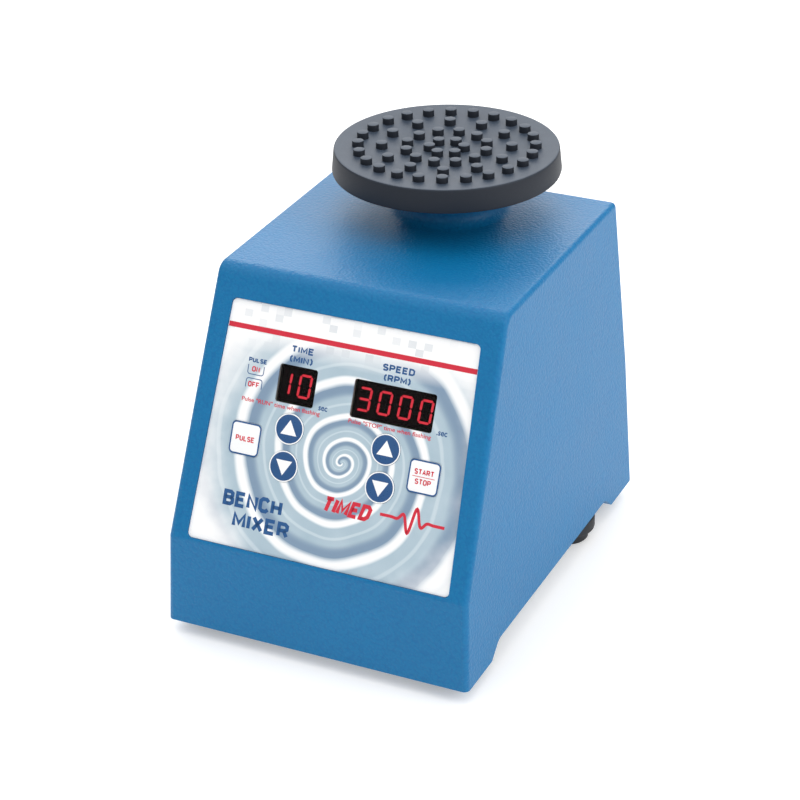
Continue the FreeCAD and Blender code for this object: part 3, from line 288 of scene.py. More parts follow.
# Plated screw: bright zinc with a faint swirl from the die.
plated, tree, shader, place = new_material("zinc_plated_screw")
wear = add(tree, "TexNoise", {"Vector": place, "Scale": 1 / (0.8 * mm), "Detail": 3.0})
put(tree, shader, {
    "Base Color": add(tree, "MixRGB", {"Fac": wear, "Color1": linear("#9C9EA2"), "Color2": linear("#C6C8CA")}),
    "Metallic": 1.0, "Roughness": add(tree, "MapRange", {"Value": wear, "To Min": 0.22, "To Max": 0.42})})
dress(plated, "foot_screws", "board_screws", "mount_screws", "motor_bolts", "power_board_screws")


# Four base screws, heads down, at the corners of their node's own box.
low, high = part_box("base_screws")
heads = bmesh.new()
for x in (low.x + SCREW_HEAD, high.x - SCREW_HEAD):
    for y in (low.y + SCREW_HEAD, high.y - SCREW_HEAD):
        seat = Matrix.Translation((x, y, low.z + SCREW_HEAD_HEIGHT))
        cross_head(heads, seat @ Matrix.Rotation(math.pi, 4, "X"), SCREW_HEAD, SCREW_HEAD_HEIGHT)
base_screw_heads = finish_piece("base_screw_heads", heads, plated)
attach(base_screw_heads, "housing")
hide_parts("base_screws")

# ---- Feet
# Four moulded rubber feet, each a soft pad with a hollow underside under a wider flange, so that it
# grips the bench like a suction cup. A screw from inside holds each one by its neck.

FOOT_FLANGE = 10.8 * mm
FOOT_STEP_IN = 3.9 * mm
GLOSS_SPREAD = 0.07


def moulding(name, dark, light, grain, depth, roughness, **values):
    """A moulded or cast finish: tone, gloss and a fine relief all follow one grain size."""
    material, tree, shader, place = new_material(name)
    coarse = add(tree, "TexNoise", {"Vector": place, "Scale": 0.12 / grain, "Detail": 3.0})
    fine = add(tree, "TexNoise", {"Vector": place, "Scale": 1 / grain, "Detail": 2.0})
    put(tree, shader, {
        "Base Color": add(tree, "MixRGB", {"Fac": coarse, "Color1": linear(dark), "Color2": linear(light)}),
        "Roughness": add(tree, "MapRange", {"Value": fine, "To Min": roughness - GLOSS_SPREAD,
                                            "To Max": roughness + GLOSS_SPREAD}),
        "Normal": add(tree, "Bump", {"Height": fine, "Strength": 0.5, "Distance": depth})})
    for key, value in values.items():
        shader.inputs[key.replace("_", " ")].default_value = value
    return material


# Soft rubber: near black, matt, with the bloom that rubber gets in patches.
foot_rubber = moulding("moulded_foot_rubber", "#15171A", "#23262A", 0.6 * mm, 0.03 * mm, 0.62)
feet = bmesh.new()
low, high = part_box("rubber_feet")
foot_profile = [(0.0, 1.2), (3.4, 1.1), (5.8, 0.6), (6.6, 0.1), (7.1, 0.0), (7.9, 0.15), (8.25, 0.6),
                (8.35, 1.3), (8.35, 3.4), (8.6, 4.1), (9.3, 4.4), (10.2, 4.5), (10.65, 4.8), (10.8, 5.4),
                (10.8, 9.2), (10.6, 9.8), (10.1, 10.1), (6.9, 10.2), (6.5, 10.5), (6.4, 11.0), (6.4, 12.5),
                (0.0, 12.5)]
for side in (-1, 1):
    for x, y in ((high.x - FOOT_FLANGE - FOOT_STEP_IN, low.y + FOOT_FLANGE),
                 (high.x - FOOT_FLANGE, high.y - FOOT_FLANGE)):
        turned(feet, Matrix.Translation((side * x, y, low.z)),
               [(radius * mm, height * mm) for radius, height in foot_profile], 48)
suction_feet = finish_piece("suction_feet", feet, foot_rubber, 50)
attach(suction_feet, "housing")
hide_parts("rubber_feet")

# ---- Power board
# A green glass-epoxy board on four brass standoffs: a transformer, the motor's capacitor and a finned
# heat sink stand on it, and a flat grey cable runs up to the display board.

# Solder resist over woven glass: the weave of 0.5 mm tows shows as a faint grid.
resist, tree, shader, place = new_material("green_solder_resist_on_glass_epoxy")
weave = add(tree, "TexBrick", {"Vector": place, "Scale": 1 / (1.0 * mm), "Color1": linear("#0F5A2C"),
                               "Color2": linear("#147038"), "Mortar": linear("#0B4A24"), "Mortar Size": 0.04})
tracks = add(tree, "TexVoronoi", {"Vector": place, "Scale": 1 / (5 * mm)}, feature="F1", distance="MANHATTAN")
trace = add(tree, "MapRange", {"Value": tracks.outputs["Distance"], "From Min": 0.42, "From Max": 0.46})
put(tree, shader, {
    "Base Color": add(tree, "MixRGB", {"Fac": trace, "Color1": weave, "Color2": linear("#2C8A50")}),
    "Roughness": 0.32, "Coat Weight": 0.4, "Coat Roughness": 0.12,
    "Normal": add(tree, "Bump", {"Height": trace, "Strength": 0.4, "Distance": 0.04 * mm})})
dress(resist, "power_board", "display_board")

# Turned brass: yellow metal with fine rings from the tool, drawn 0.6 mm apart so that they show.
brass, tree, shader, place = new_material("turned_brass")
rings = add(tree, "TexWave", {"Vector": place, "Scale": 1 / (2.0 * mm), "Distortion": 0.3}, bands_direction="Z")
put(tree, shader, {
    "Base Color": add(tree, "MixRGB", {"Fac": rings, "Color1": linear("#B08D4A"), "Color2": linear("#D2B06A")}),
    "Metallic": 1.0, "Roughness": 0.28,
    "Normal": add(tree, "Bump", {"Height": rings, "Strength": 0.2, "Distance": 0.02 * mm})})
dress(brass, "board_standoffs", "power_board_standoffs")

# A wave texture of scale 1 repeats every 0.314.
WAVE_REPEAT = 0.314

# Stamped laminations: dark steel sheets 0.5 mm thick, whose edges stripe the stack.
laminated, tree, shader, place = new_material("varnished_steel_laminations")
sheets = add(tree, "TexWave", {"Vector": place, "Scale": WAVE_REPEAT / (0.5 * mm), "Distortion": 0.1},
             bands_direction="Z")
rust = add(tree, "TexNoise", {"Vector": place, "Scale": 1 / (6 * mm), "Detail": 4.0})
put(tree, shader, {
    "Base Color": add(tree, "MixRGB", {"Fac": sheets, "Color1": linear("#44474B"), "Color2": add(
        tree, "MixRGB", {"Fac": rust, "Color1": linear("#6E7175"), "Color2": linear("#776A5E")})}),
    "Metallic": 0.85, "Roughness": 0.45,
    "Normal": add(tree, "Bump", {"Height": sheets, "Strength": 0.5, "Distance": 0.05 * mm})})
dress(laminated, "stator_stack", "transformer", "rotor_core")

capacitor_wrap = moulding("printed_capacitor_sleeve", "#B9B8AE", "#CFCEC6", 0.8 * mm, 0.01 * mm, 0.3)
dress(capacitor_wrap, "motor_capacitor")
anodised = moulding("black_anodised_extrusion", "#141518", "#1E2024", 0.3 * mm, 0.01 * mm, 0.4, Metallic=0.9)
dress(anodised, "heat_sink")

# Flat cable: grey insulation over conductors 1.27 mm apart, which ridge it; the troughs between ridges are painted
# darker grey as painted shade.
ribbon, tree, shader, place = new_material("grey_ribbon_cable_insulation")
cores_and_groove_shade = add(tree, "TexWave", {"Vector": place, "Scale": WAVE_REPEAT / (1.27 * mm), "Distortion": 0.0},
            bands_direction="X")
# Painted shade: the grey is drawn darker in the troughs between the conductors.
put(tree, shader, {
    "Base Color": add(tree, "MixRGB", {"Fac": cores_and_groove_shade, "Color1": linear("#7E848B"), "Color2": linear("#A7ACB2")}),
    "Roughness": 0.42, "Normal": add(tree, "Bump", {"Height": cores_and_groove_shade, "Strength": 0.6, "Distance": 0.2 * mm})})
dress(ribbon, "display_ribbon")

# ---- Motor
# A square shaded-pole stator between two die-cast brackets, hung from the roof by a steel plate and
# four rubber grommets; a cooling fan and a slotted speed disc are on the lower end of its shaft.

dress(zinc, "motor_mount_plate")
grommet_rubber = moulding("grommet_rubber", "#191A1C", "#28292C", 0.4 * mm, 0.02 * mm, 0.6)
dress(grommet_rubber, "mount_grommets")

# Enamelled winding wire: copper strands 0.6 mm thick under a warm clear varnish, with the grooves between strands
# painted darker as painted shade.
copper, tree, shader, place = new_material("varnished_copper_winding")
strands_and_groove_shade = add(tree, "TexWave", {"Vector": place, "Scale": WAVE_REPEAT / (0.6 * mm), "Distortion": 1.5,
                                "Detail": 2.0, "Detail Scale": 1.5}, wave_type="RINGS", rings_direction="Z")
# Painted shade: the copper is drawn darker where the strands' relief is low.
put(tree, shader, {
    "Base Color": add(tree, "MixRGB", {"Fac": strands_and_groove_shade, "Color1": linear("#7A3D18"), "Color2": linear("#C27A42")}),
    "Metallic": 0.9, "Roughness": 0.3, "Coat Weight": 0.6, "Coat Roughness": 0.1,
    "Normal": add(tree, "Bump", {"Height": strands_and_groove_shade, "Strength": 0.7, "Distance": 0.3 * mm})})
dress(copper, "stator_winding")

# Bare metals of the drive, each as smooth as its making leaves it: cast, ground or rolled.
cast_metal = moulding("die_cast_aluminium", "#8F9297", "#AEB1B4", 0.5 * mm, 0.04 * mm, 0.45, Metallic=1.0)
dress(cast_metal, "upper_bracket", "lower_bracket", "drive_head")
bearing_steel = moulding("ground_bearing_steel", "#A5A8AC", "#C6C8CA", 0.2 * mm, 0.004 * mm, 0.18, Metallic=1.0)
dress(bearing_steel, "upper_bearing", "lower_bearing", "crank_bearing")
shaft_steel = moulding("ground_shaft_steel", "#8E9196", "#B4B7BA", 0.25 * mm, 0.006 * mm, 0.26, Metallic=1.0)
dress(shaft_steel, "motor_shaft", "crank_pin", "eccentric")
snap_steel = moulding("rolled_stainless_sheet", "#A9ABAE", "#BFC1C3", 0.3 * mm, 0.006 * mm, 0.3, Metallic=1.0)
dress(snap_steel, "speed_disc", "key_domes")
fan_nylon = moulding("moulded_fan_nylon", "#17181A", "#222426", 0.5 * mm, 0.02 * mm, 0.5)
dress(fan_nylon, "cooling_fan")
sensor_plastic = moulding("moulded_sensor_housing", "#121315", "#1C1D20", 0.4 * mm, 0.01 * mm, 0.45)
dress(sensor_plastic, "speed_sensor")

# ---- Drive boot and platform plate
# A thin rubber boot hugs the head that the crank drives, and a nylon plate snaps on its stud.

boot_rubber = moulding("thin_boot_rubber", "#1A1C1F", "#292C30", 0.5 * mm, 0.02 * mm, 0.55)
dress(boot_rubber, "drive_boot")
plate_nylon = moulding("moulded_plate_nylon", "#1F2226", "#2B2E33", 0.5 * mm, 0.02 * mm, 0.5)
dress(plate_nylon, "platform_plate")

# ---- Platform cover
# One moulding of soft black rubber: a shallow flared cup with a slightly dished top and four rings of
# stubby round nubs, pulled over the plate. It holds a tube's foot or a flask by friction.

NUB_RINGS = [(6, 21.5), (12, 6.3), (12, 21.0), (24, 6.2)]
NUB_RADIUS = 2.2
NUB_HEIGHT = 2.4
DISH_DEPTH = 2.0
RIM_FLARE = 1.0
COVER_SKIN = 3.0
COVER_WALL = 3.4
INNER_RING = 6.5
OUTER_RING = 33.3

# Cover rubber: blue-black and matt. What faces up is painted paler, in patches of bloom, as a painted highlight;
# the nubs' sides stay nearly black, as painted shade.
cover_rubber, tree, shader, place = new_material("moulded_cover_rubber")
bloom = add(tree, "TexNoise", {"Vector": place, "Scale": 1 / (7 * mm), "Detail": 4.0})
pores = add(tree, "TexNoise", {"Vector": place, "Scale": 1 / (0.35 * mm), "Detail": 3.0})
facing = add(tree, "SeparateXYZ", {"Vector": add(tree, "TexCoord", {}).outputs["Normal"]}).outputs["Z"]
# Painted light: faces that point up are drawn paler than the sides, as if lit from above.
painted_lit_top = add(tree, "MapRange", {"Value": facing, "From Min": 0.3, "From Max": 0.95})
bloom_and_painted_top_light = add(tree, "MixRGB", {"Fac": bloom, "Color1": linear("#323D4C"), "Color2": linear("#3D4958")})
put(tree, shader, {
    "Base Color": add(tree, "MixRGB", {"Fac": painted_lit_top, "Color1": linear("#1B212B"), "Color2": bloom_and_painted_top_light}),
    "Roughness": add(tree, "MapRange", {"Value": pores, "To Min": 0.5, "To Max": 0.62}),
    "Specular IOR Level": 0.35,
    "Normal": add(tree, "Bump", {"Height": pores, "Strength": 0.45, "Distance": 0.05 * mm})})

low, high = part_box("platform_cover")
cover_low = low.z / mm
rim_low = (high.x - low.x) / mm / 2
rim_high = rim_low + 0.13 - RIM_FLARE
cover_top = high.z / mm - NUB_HEIGHT + DISH_DEPTH * (1 - (OUTER_RING / rim_high) ** 2)


def dish(reach):
    """How high the cover's top is at a distance from its middle."""
    return cover_top - DISH_DEPTH * (1 - (reach / rim_high) ** 2)


cover_centre = Matrix.Translation(((low.x + high.x) / 2, (low.y + high.y) / 2, 0.0))
cover = bmesh.new()
cover_profile = [(0.0, dish(0) - COVER_SKIN), (rim_high - COVER_WALL, dish(0) - COVER_SKIN),
                 (rim_high - COVER_WALL, cover_low + 0.3), (rim_high - COVER_WALL + 0.3, cover_low),
                 (rim_low - 0.8, cover_low), (rim_low - 0.2, cover_low + 0.25), (rim_low, cover_low + 0.9),
                 (rim_high + 0.12, cover_top - 0.9), (rim_high, cover_top - 0.45),
                 (rim_high - 0.2, cover_top - 0.15), (rim_high - 0.55, cover_top - 0.05),
                 (rim_high - 0.95, dish(rim_high - 0.95)),
                 *((rim_high * share / 8, dish(rim_high * share / 8)) for share in range(7, -1, -1))]
turned(cover, cover_centre, [(radius * mm, height * mm) for radius, height in cover_profile], 160)
nub_profile = [(NUB_RADIUS + 0.12, -0.3), (NUB_RADIUS + 0.02, 0.12), (NUB_RADIUS, 0.3),
               (NUB_RADIUS - 0.02, NUB_HEIGHT - 0.15), (NUB_RADIUS - 0.07, NUB_HEIGHT - 0.05),
               (NUB_RADIUS - 0.2, NUB_HEIGHT), (0.0, NUB_HEIGHT)]
for ring, (count, start) in enumerate(NUB_RINGS):
    reach = INNER_RING + ring * (OUTER_RING - INNER_RING) / (len(NUB_RINGS) - 1)
    for number in range(count):
        turn = math.radians(start + number * 360 / count)
        spot = cover_centre @ Matrix.Translation(
            (reach * mm * math.cos(turn), reach * mm * math.sin(turn), dish(reach) * mm))
        turned(cover, spot, [(radius * mm, height * mm) for radius, height in nub_profile], 24)
rubber_platform = finish_piece("rubber_platform", cover, cover_rubber, 40)
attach(rubber_platform, "platform")
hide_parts("platform_cover")

# ---- Control panel
# A membrane keypad set in a recess of the front slope: a printed polyester film over a spacer, a
# circuit film and an aluminium back plate, with steel snap domes under the keys.

# The panel's own frame: X to the right, Y up the slope, Z outward, on the film's face, in millimetres.
low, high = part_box("panel_overlay")
press = next(joint for joint in frame["joints"] if joint["name"] == "key_pulse_press")
outward = -Vector(press["axis"]).normalized()
across = Vector((1.0, 0.0, 0.0))
uphill = outward.cross(across)
FILM_THICK = 0.4
panel = (Matrix.Translation((low + high) / 2 + outward * FILM_THICK * mm / 2)
         @ Matrix((across, uphill, outward)).transposed().to_4x4() @ Matrix.Scale(mm, 4))
to_panel = panel.inverted()


def on_panel(node):
    """Where a CAD node's middle is, as (right, up) on the panel in millimetres."""
    low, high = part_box(node)
    spot = to_panel @ ((low + high) / 2)
    return spot.x, spot.y


PANEL_TILT = math.atan2(uphill.z, uphill.y)
SWIRL_CENTRE = (3.7, -5.8)
SWIRL_TURNS = 2.6
SWIRL_OPENING = 9

# Printed polyester: satin film whose print is on its back. A soft spiral of ripples, grey-blue with
# white crests, fades to white at the corners.
film, tree, shader, place = new_material("printed_polyester_film")
flat = add(tree, "Mapping", {"Vector": place, "Location": panel.translation,
                             "Rotation": (PANEL_TILT, 0.0, 0.0), "Scale": (mm, mm, mm)}, vector_type="TEXTURE")
centred = add(tree, "VectorMath", {0: flat, 1: (*SWIRL_CENTRE, 0.0)}, operation="SUBTRACT")
drift = add(tree, "TexNoise", {"Vector": centred, "Scale": 1 / 26, "Detail": 1.5})
drifted = add(tree, "VectorMath", {0: centred, 1: add(tree, "VectorMath", {
    0: add(tree, "VectorMath", {0: drift.outputs["Color"], 1: (0.5, 0.5, 0.5)}, operation="SUBTRACT"),
    "Scale": 4.5}, operation="SCALE")}, operation="ADD")
axes = add(tree, "SeparateXYZ", {"Vector": drifted})
turn = add(tree, "Math", {0: axes.outputs["Y"], 1: axes.outputs["X"]}, operation="ARCTAN2")
on_face = add(tree, "CombineXYZ", {"X": axes.outputs["X"], "Y": axes.outputs["Y"]})
distance = add(tree, "VectorMath", {0: on_face}, operation="LENGTH").outputs["Value"]
# The arm opens out: at any distance it has made SWIRL_TURNS * ln(1 + distance / SWIRL_OPENING) turns.
reached = add(tree, "Math", {0: distance, 1: 1 / SWIRL_OPENING, 2: 1.0}, operation="MULTIPLY_ADD")
opened = add(tree, "Math", {0: reached, 1: math.e}, operation="LOGARITHM")
phase = add(tree, "Math", {0: opened, 1: SWIRL_TURNS * 2 * math.pi, 2: turn}, operation="MULTIPLY_ADD")
swell = add(tree, "Math", {0: phase}, operation="COSINE")
crest = add(tree, "MapRange", {"Value": swell, "From Min": 0.66}, interpolation_type="SMOOTHSTEP")
second = add(tree, "Math", {0: add(tree, "Math", {0: phase, 1: 2.0, 2: 1.4}, operation="MULTIPLY_ADD")},
             operation="COSINE")
ripple = add(tree, "MapRange", {"Value": second, "From Min": 0.8, "To Max": 0.45},
             interpolation_type="SMOOTHSTEP")
shade_wave = add(tree, "Math", {0: add(tree, "Math", {0: phase, 1: 1.3}, operation="ADD")}, operation="COSINE")
shade = add(tree, "MapRange", {"Value": shade_wave}, interpolation_type="SMOOTHSTEP")
cloud = add(tree, "TexNoise", {"Vector": centred, "Scale": 1 / 14, "Detail": 3.0})
water = add(tree, "MixRGB", {"Fac": cloud, "Color1": linear("#9DB6C4"), "Color2": linear("#BFD0DA")})
dark_water = add(tree, "MixRGB", {"Fac": shade, "Color1": water, "Color2": linear("#7F97AF")})
rippled = add(tree, "MixRGB", {"Fac": ripple, "Color1": dark_water, "Color2": linear("#DDE8ED")})
crested = add(tree, "MixRGB", {"Fac": crest, "Color1": rippled, "Color2": linear("#FDFEFE")})
edge = add(tree, "Math", {0: cloud, 1: 12.0, 2: distance}, operation="MULTIPLY_ADD")
fade = add(tree, "MapRange", {"Value": edge, "From Min": 50.0, "From Max": 68.0},
           interpolation_type="SMOOTHSTEP")
washed = add(tree, "MixRGB", {"Fac": fade, "Color1": crested, "Color2": linear("#FEFEFE")})
# Along the top the print turns into a scatter of faint grey squares.
up_panel = add(tree, "SeparateXYZ", {"Vector": flat}).outputs["Y"]
above_rule = add(tree, "MapRange", {"Value": up_panel, "From Min": 27.0, "From Max": 35.0})
tile = add(tree, "VectorMath", {0: flat, 1: (3.1, 2.6, 1000.0)}, operation="SNAP")
chance = add(tree, "TexWhiteNoise", {"Vector": tile})
cleared = add(tree, "MixRGB", {"Fac": above_rule, "Color1": washed, "Color2": linear("#FEFEFE")})
drawn = add(tree, "MapRange", {"Value": chance.outputs["Value"], "From Min": 0.72, "To Max": 0.5})
square = add(tree, "Math", {0: drawn, 1: above_rule}, operation="MULTIPLY")
printed = add(tree, "MixRGB", {"Fac": square, "Color1": cleared, "Color2": linear("#C3CBD2")})
peel = add(tree, "TexNoise", {"Vector": place, "Scale": 1 / (0.6 * mm), "Detail": 2.0})
put(tree, shader, {
    "Base Color": printed, "Roughness": 0.3, "IOR": 1.57, "Coat Weight": 0.15, "Coat Roughness": 0.2,
    "Normal": add(tree, "Bump", {"Height": peel, "Strength": 0.12, "Distance": 0.02 * mm})})
dress(film, "panel_overlay")

adhesive = moulding("adhesive_spacer_sheet", "#C9C8C0", "#DAD9D2", 0.5 * mm, 0.01 * mm, 0.5)
dress(adhesive, "dome_spacer")
circuit = moulding("silver_printed_circuit_film", "#A9B0A2", "#C2C8BA", 0.8 * mm, 0.01 * mm, 0.4)
dress(circuit, "keypad_circuit")
mill_aluminium = moulding("mill_finish_aluminium", "#A4A7AA", "#BDBFC1", 0.3 * mm, 0.01 * mm, 0.35,
                          Metallic=1.0)
dress(mill_aluminium, "panel_backplate")

INK = 0.03
INK_SUNK = -0.01
MITRE_LIMIT = 0.7
LETTER_GAP = 0.34


def band(shape, outer, inner, low, high):
    """A flat closed band between two outlines of as many points, low to high on the panel."""
    skin(shape, [[panel @ Vector((x, y, height)) for x, y in outline]
                 for outline, height in ((outer, low), (outer, high), (inner, high), (inner, low))], ends=False)


def slab(shape, outlines):
    """A solid skinned through (outline, height) pairs on the panel."""
    skin(shape, [[panel @ Vector((x, y, height)) for x, y in outline] for outline, height in outlines])


def soft_rectangle(width, height, corner, centre=(0.0, 0.0), steps=6):
    """The outline of a rectangle with round corners."""
    points = []
    for quarter, (side, end) in enumerate(((1, 1), (-1, 1), (-1, -1), (1, -1))):
        for step in range(steps + 1):
            turn = math.pi / 2 * (quarter + step / steps)
            points.append((centre[0] + side * (width / 2 - corner) + corner * math.cos(turn),
                           centre[1] + end * (height / 2 - corner) + corner * math.sin(turn)))
    return points


def round_outline(radius, centre):
    """The outline of a circle."""
    return [(point.x, point.y) for point in circle(radius, 0.0, 48, centre)]


def stroke(shape, points, width, low, high):
    """A flat line along open points on the panel. Its corners are mitred, and sharp ones are pinched."""
    loops = []
    spots = [Vector(point) for point in points]
    runs = [(after - before).normalized() for before, after in zip(spots, spots[1:])]
    for point, before, after in zip(spots, runs[:1] + runs, runs + runs[-1:]):
        along = (before + after).normalized()
        side = Vector((-along.y, along.x)) * width / 2 / max(along.dot(after), MITRE_LIMIT)
        left, right = point + side, point - side
        loops.append([panel @ Vector((left.x, left.y, low)), panel @ Vector((left.x, left.y, high)),
                      panel @ Vector((right.x, right.y, high)), panel @ Vector((right.x, right.y, low))])
    skin(shape, loops)


# The strokes of each capital, one unit tall.
CAPITALS = {
    "A": (((0, 0), (0.3, 1), (0.6, 0)), ((0.1, 0.33), (0.5, 0.33))),
    "B": (((0.3, 0), (0, 0), (0, 1), (0.42, 1), (0.56, 0.88), (0.56, 0.66), (0.42, 0.53), (0, 0.53)),
          ((0.42, 0.53), (0.6, 0.4), (0.6, 0.14), (0.44, 0), (0.2, 0))),
    "C": (((0.6, 0.82), (0.44, 1), (0.16, 1), (0, 0.82), (0, 0.18), (0.16, 0), (0.44, 0), (0.6, 0.18)),),
    "D": (((0.2, 0), (0, 0), (0, 1), (0.4, 1), (0.6, 0.8), (0.6, 0.2), (0.4, 0), (0.1, 0)),),
    "E": (((0.56, 1), (0, 1), (0, 0), (0.56, 0)), ((0, 0.52), (0.48, 0.52))),
    "F": (((0.56, 1), (0, 1), (0, 0)), ((0, 0.5), (0.48, 0.5))),
    "H": (((0, 0), (0, 1)), ((0.6, 0), (0.6, 1)), ((0, 0.5), (0.6, 0.5))),
    "I": (((0, 0), (0, 1)),),
    "L": (((0, 1), (0, 0), (0.52, 0)),),
    "M": (((0, 0), (0, 1), (0.36, 0.25), (0.72, 1), (0.72, 0)),),
    "N": (((0, 0), (0, 1), (0.6, 0), (0.6, 1)),),
    "O": (((0.3, 0), (0.16, 0), (0, 0.18), (0, 0.82), (0.16, 1), (0.44, 1), (0.6, 0.82), (0.6, 0.18),
           (0.44, 0), (0.2, 0)),),
    "P": (((0, 0), (0, 1), (0.42, 1), (0.58, 0.86), (0.58, 0.6), (0.42, 0.46), (0, 0.46)),),
    "R": (((0, 0), (0, 1), (0.42, 1), (0.58, 0.86), (0.58, 0.6), (0.42, 0.46), (0, 0.46)),
          ((0.36, 0.46), (0.6, 0))),
    "S": (((0.56, 0.84), (0.42, 1), (0.16, 1), (0.02, 0.84), (0.02, 0.66), (0.16, 0.53), (0.44, 0.47),
           (0.58, 0.34), (0.58, 0.16), (0.44, 0), (0.16, 0), (0.02, 0.16)),),
    "T": (((0, 1), (0.6, 1)), ((0.3, 1), (0.3, 0))),
    "U": (((0, 1), (0, 0.18), (0.16, 0), (0.44, 0), (0.6, 0.18), (0.6, 1)),),
    "X": (((0, 0), (0.6, 1)), ((0, 1), (0.6, 0))),
    "(": (((0.2, 1.1), (0, 0.75), (0, 0.25), (0.2, -0.1)),),
    ")": (((0, 1.1), (0.2, 0.75), (0.2, 0.25), (0, -0.1)),)}


def capitals(shape, word, size, centre, bold, low=INK_SUNK, high=INK, slant=0.0):
    """Capitals of even strokes on the panel: size is the word's width and height, bold the stroke's width."""
    starts = [0.0]
    for letter in word:
        starts.append(starts[-1] + max(x for line in CAPITALS[letter] for x, y in line) + LETTER_GAP)
    reach = starts[-1] - LETTER_GAP
    wide, tall = size[0] - bold, size[1] - bold
    for letter, start in zip(word, starts):
        for line in CAPITALS[letter]:
            stroke(shape, [(centre[0] + ((start + x) / reach - 0.5) * wide + slant * (y - 0.5) * tall,
                            centre[1] + (y - 0.5) * tall) for x, y in line], bold, low, high)


CAP_SHARE = 0.682


def letters(shape, words, height, centre, squeeze, bold):
    """Flat lettering on the panel: height is that of a capital, and the words are centred on a point."""
    curve = bpy.data.curves.new("words", "FONT")
    curve.body, curve.align_x, curve.offset = words, "CENTER", bold
    curve.extrude, curve.resolution_u = 0.5, 4
    carrier = bpy.data.objects.new("words", curve)
    scene.collection.objects.link(carrier)
    bpy.context.view_layer.update()
    mesh = bpy.data.meshes.new_from_object(carrier.evaluated_get(bpy.context.evaluated_depsgraph_get()))
    size = height / CAP_SHARE
    mesh.transform(panel @ Matrix.Translation((centre[0], centre[1] - height / 2, (INK_SUNK + INK) / 2))
                   @ Matrix.Diagonal((size * squeeze, size, INK - INK_SUNK, 1.0)))
    shape.from_mesh(mesh)
    bpy.data.objects.remove(carrier)
    bpy.data.curves.remove(curve)
    bpy.data.meshes.remove(mesh)


# ---- Displays
# Red light-emitting bars in two black blocks, behind dark red windows that are part of the film.

LENS_THICK = 1.4
LENS_CORNER = 1.0
WINDOW_HEIGHT = 13.6
LED_DROP = 1.8
DIGIT_HEIGHT = 7.9
DIGIT_WIDTH = 4.3
BAR = 0.85
BAR_THICK = 0.1
BAR_GAP = 0.12
DIGIT_SLANT = 0.05
DIGIT_PITCH = 8.0
LENS_EDGE = 0.08

# Display filter: smoked red plastic, almost black with nothing lit behind it.
smoked, tree, shader, place = new_material("smoked_red_display_filter")
depth = add(tree, "TexNoise", {"Vector": place, "Scale": 1 / (5 * mm), "Detail": 2.0})
put(tree, shader, {
    "Base Color": add(tree, "MixRGB", {"Fac": depth, "Color1": linear("#080102"), "Color2": linear("#0E0203")}),
    "Roughness": 0.2, "IOR": 1.5, "Specular IOR Level": 0.3, "Alpha": 0.3})
led_body = moulding("black_display_block", "#040202", "#080404", 0.5 * mm, 0.01 * mm, 0.7,
                    Specular_IOR_Level=0.1)
dress(led_body, "time_display", "speed_display")

# Lit bar: a red emitter under a diffuser, a little hotter in its middle.
lit, tree, shader, place = new_material("lit_red_diffuser")
glow = add(tree, "TexNoise", {"Vector": place, "Scale": 1 / (1.5 * mm), "Detail": 1.0})
put(tree, shader, {
    "Base Color": linear("#A01018"), "Roughness": 0.5,
    "Emission Color": add(tree, "MixRGB", {"Fac": glow, "Color1": linear("#F02C3E"), "Color2": linear("#FA4858")}),
    "Emission Strength": 1.35})

SEGMENTS = {"0": "abcdef", "1": "bc", "3": "abcdg"}


def digit(shape, figure, centre, height_on_panel):
    """Seven bars with pointed ends, leaning a little to the right."""
    wide, tall = DIGIT_WIDTH / 2, DIGIT_HEIGHT / 2
    ends = {"a": ((-wide, tall), (wide, tall)), "g": ((-wide, 0), (wide, 0)),
            "d": ((-wide, -tall), (wide, -tall)), "f": ((-wide, 0), (-wide, tall)),
            "b": ((wide, 0), (wide, tall)), "e": ((-wide, -tall), (-wide, 0)), "c": ((wide, -tall), (wide, 0))}
    for segment in SEGMENTS[figure]:
        start, stop = (Vector(end) for end in ends[segment])
        along = (stop - start).normalized()
        side = Vector((-along.y, along.x)) * BAR / 2
        tip, shoulder = along * BAR_GAP, along * (BAR_GAP + BAR / 2)
        outline = [start + tip, start + shoulder - side, stop - shoulder - side, stop - tip,
                   stop - shoulder + side, start + shoulder + side]
        leaning = [(centre[0] + point.x + DIGIT_SLANT * point.y, centre[1] + point.y) for point in outline]
        slab(shape, [(leaning, height_on_panel), (leaning, height_on_panel + BAR_THICK)])


for reading, name, shift in (("10", "time", -1.5), ("3000", "speed", 0.0)):
    centre = on_panel(name + "_window")
    low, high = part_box(name + "_window")
    width = (high.x - low.x) / mm
    lens = bmesh.new()
    slab(lens, [(soft_rectangle(width, WINDOW_HEIGHT, LENS_CORNER, centre), -LENS_THICK),
                (soft_rectangle(width, WINDOW_HEIGHT, LENS_CORNER, centre), -LENS_EDGE),
                (soft_rectangle(width - 2 * LENS_EDGE, WINDOW_HEIGHT - 2 * LENS_EDGE, LENS_CORNER, centre), 0.0)])
    window = finish_piece(name + "_lens", lens, smoked)
    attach(window, "housing")
    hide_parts(name + "_window")
    digits = bmesh.new()
    for spot, figure in enumerate(reading):
        right = centre[0] + shift + (spot - (len(reading) - 1) / 2) * DIGIT_PITCH
        digit(digits, figure, (right, centre[1]), -LED_DROP - 0.02)
    lit_digits = finish_piece(name + "_digits", digits, lit)
    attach(lit_digits, "housing")

# ---- Keys
# Pillows embossed in the same film: four round blue ones with a white rim and arrow, and two square
# white ones with a blue rim and red words. Each snaps down 0.3 mm on its dome.

PROUD = 0.3
LEGEND_LOW = 0.2
KEY_SIDE = 12
KEY_CORNER = 1.8
SMALL_STROKE = 0.42

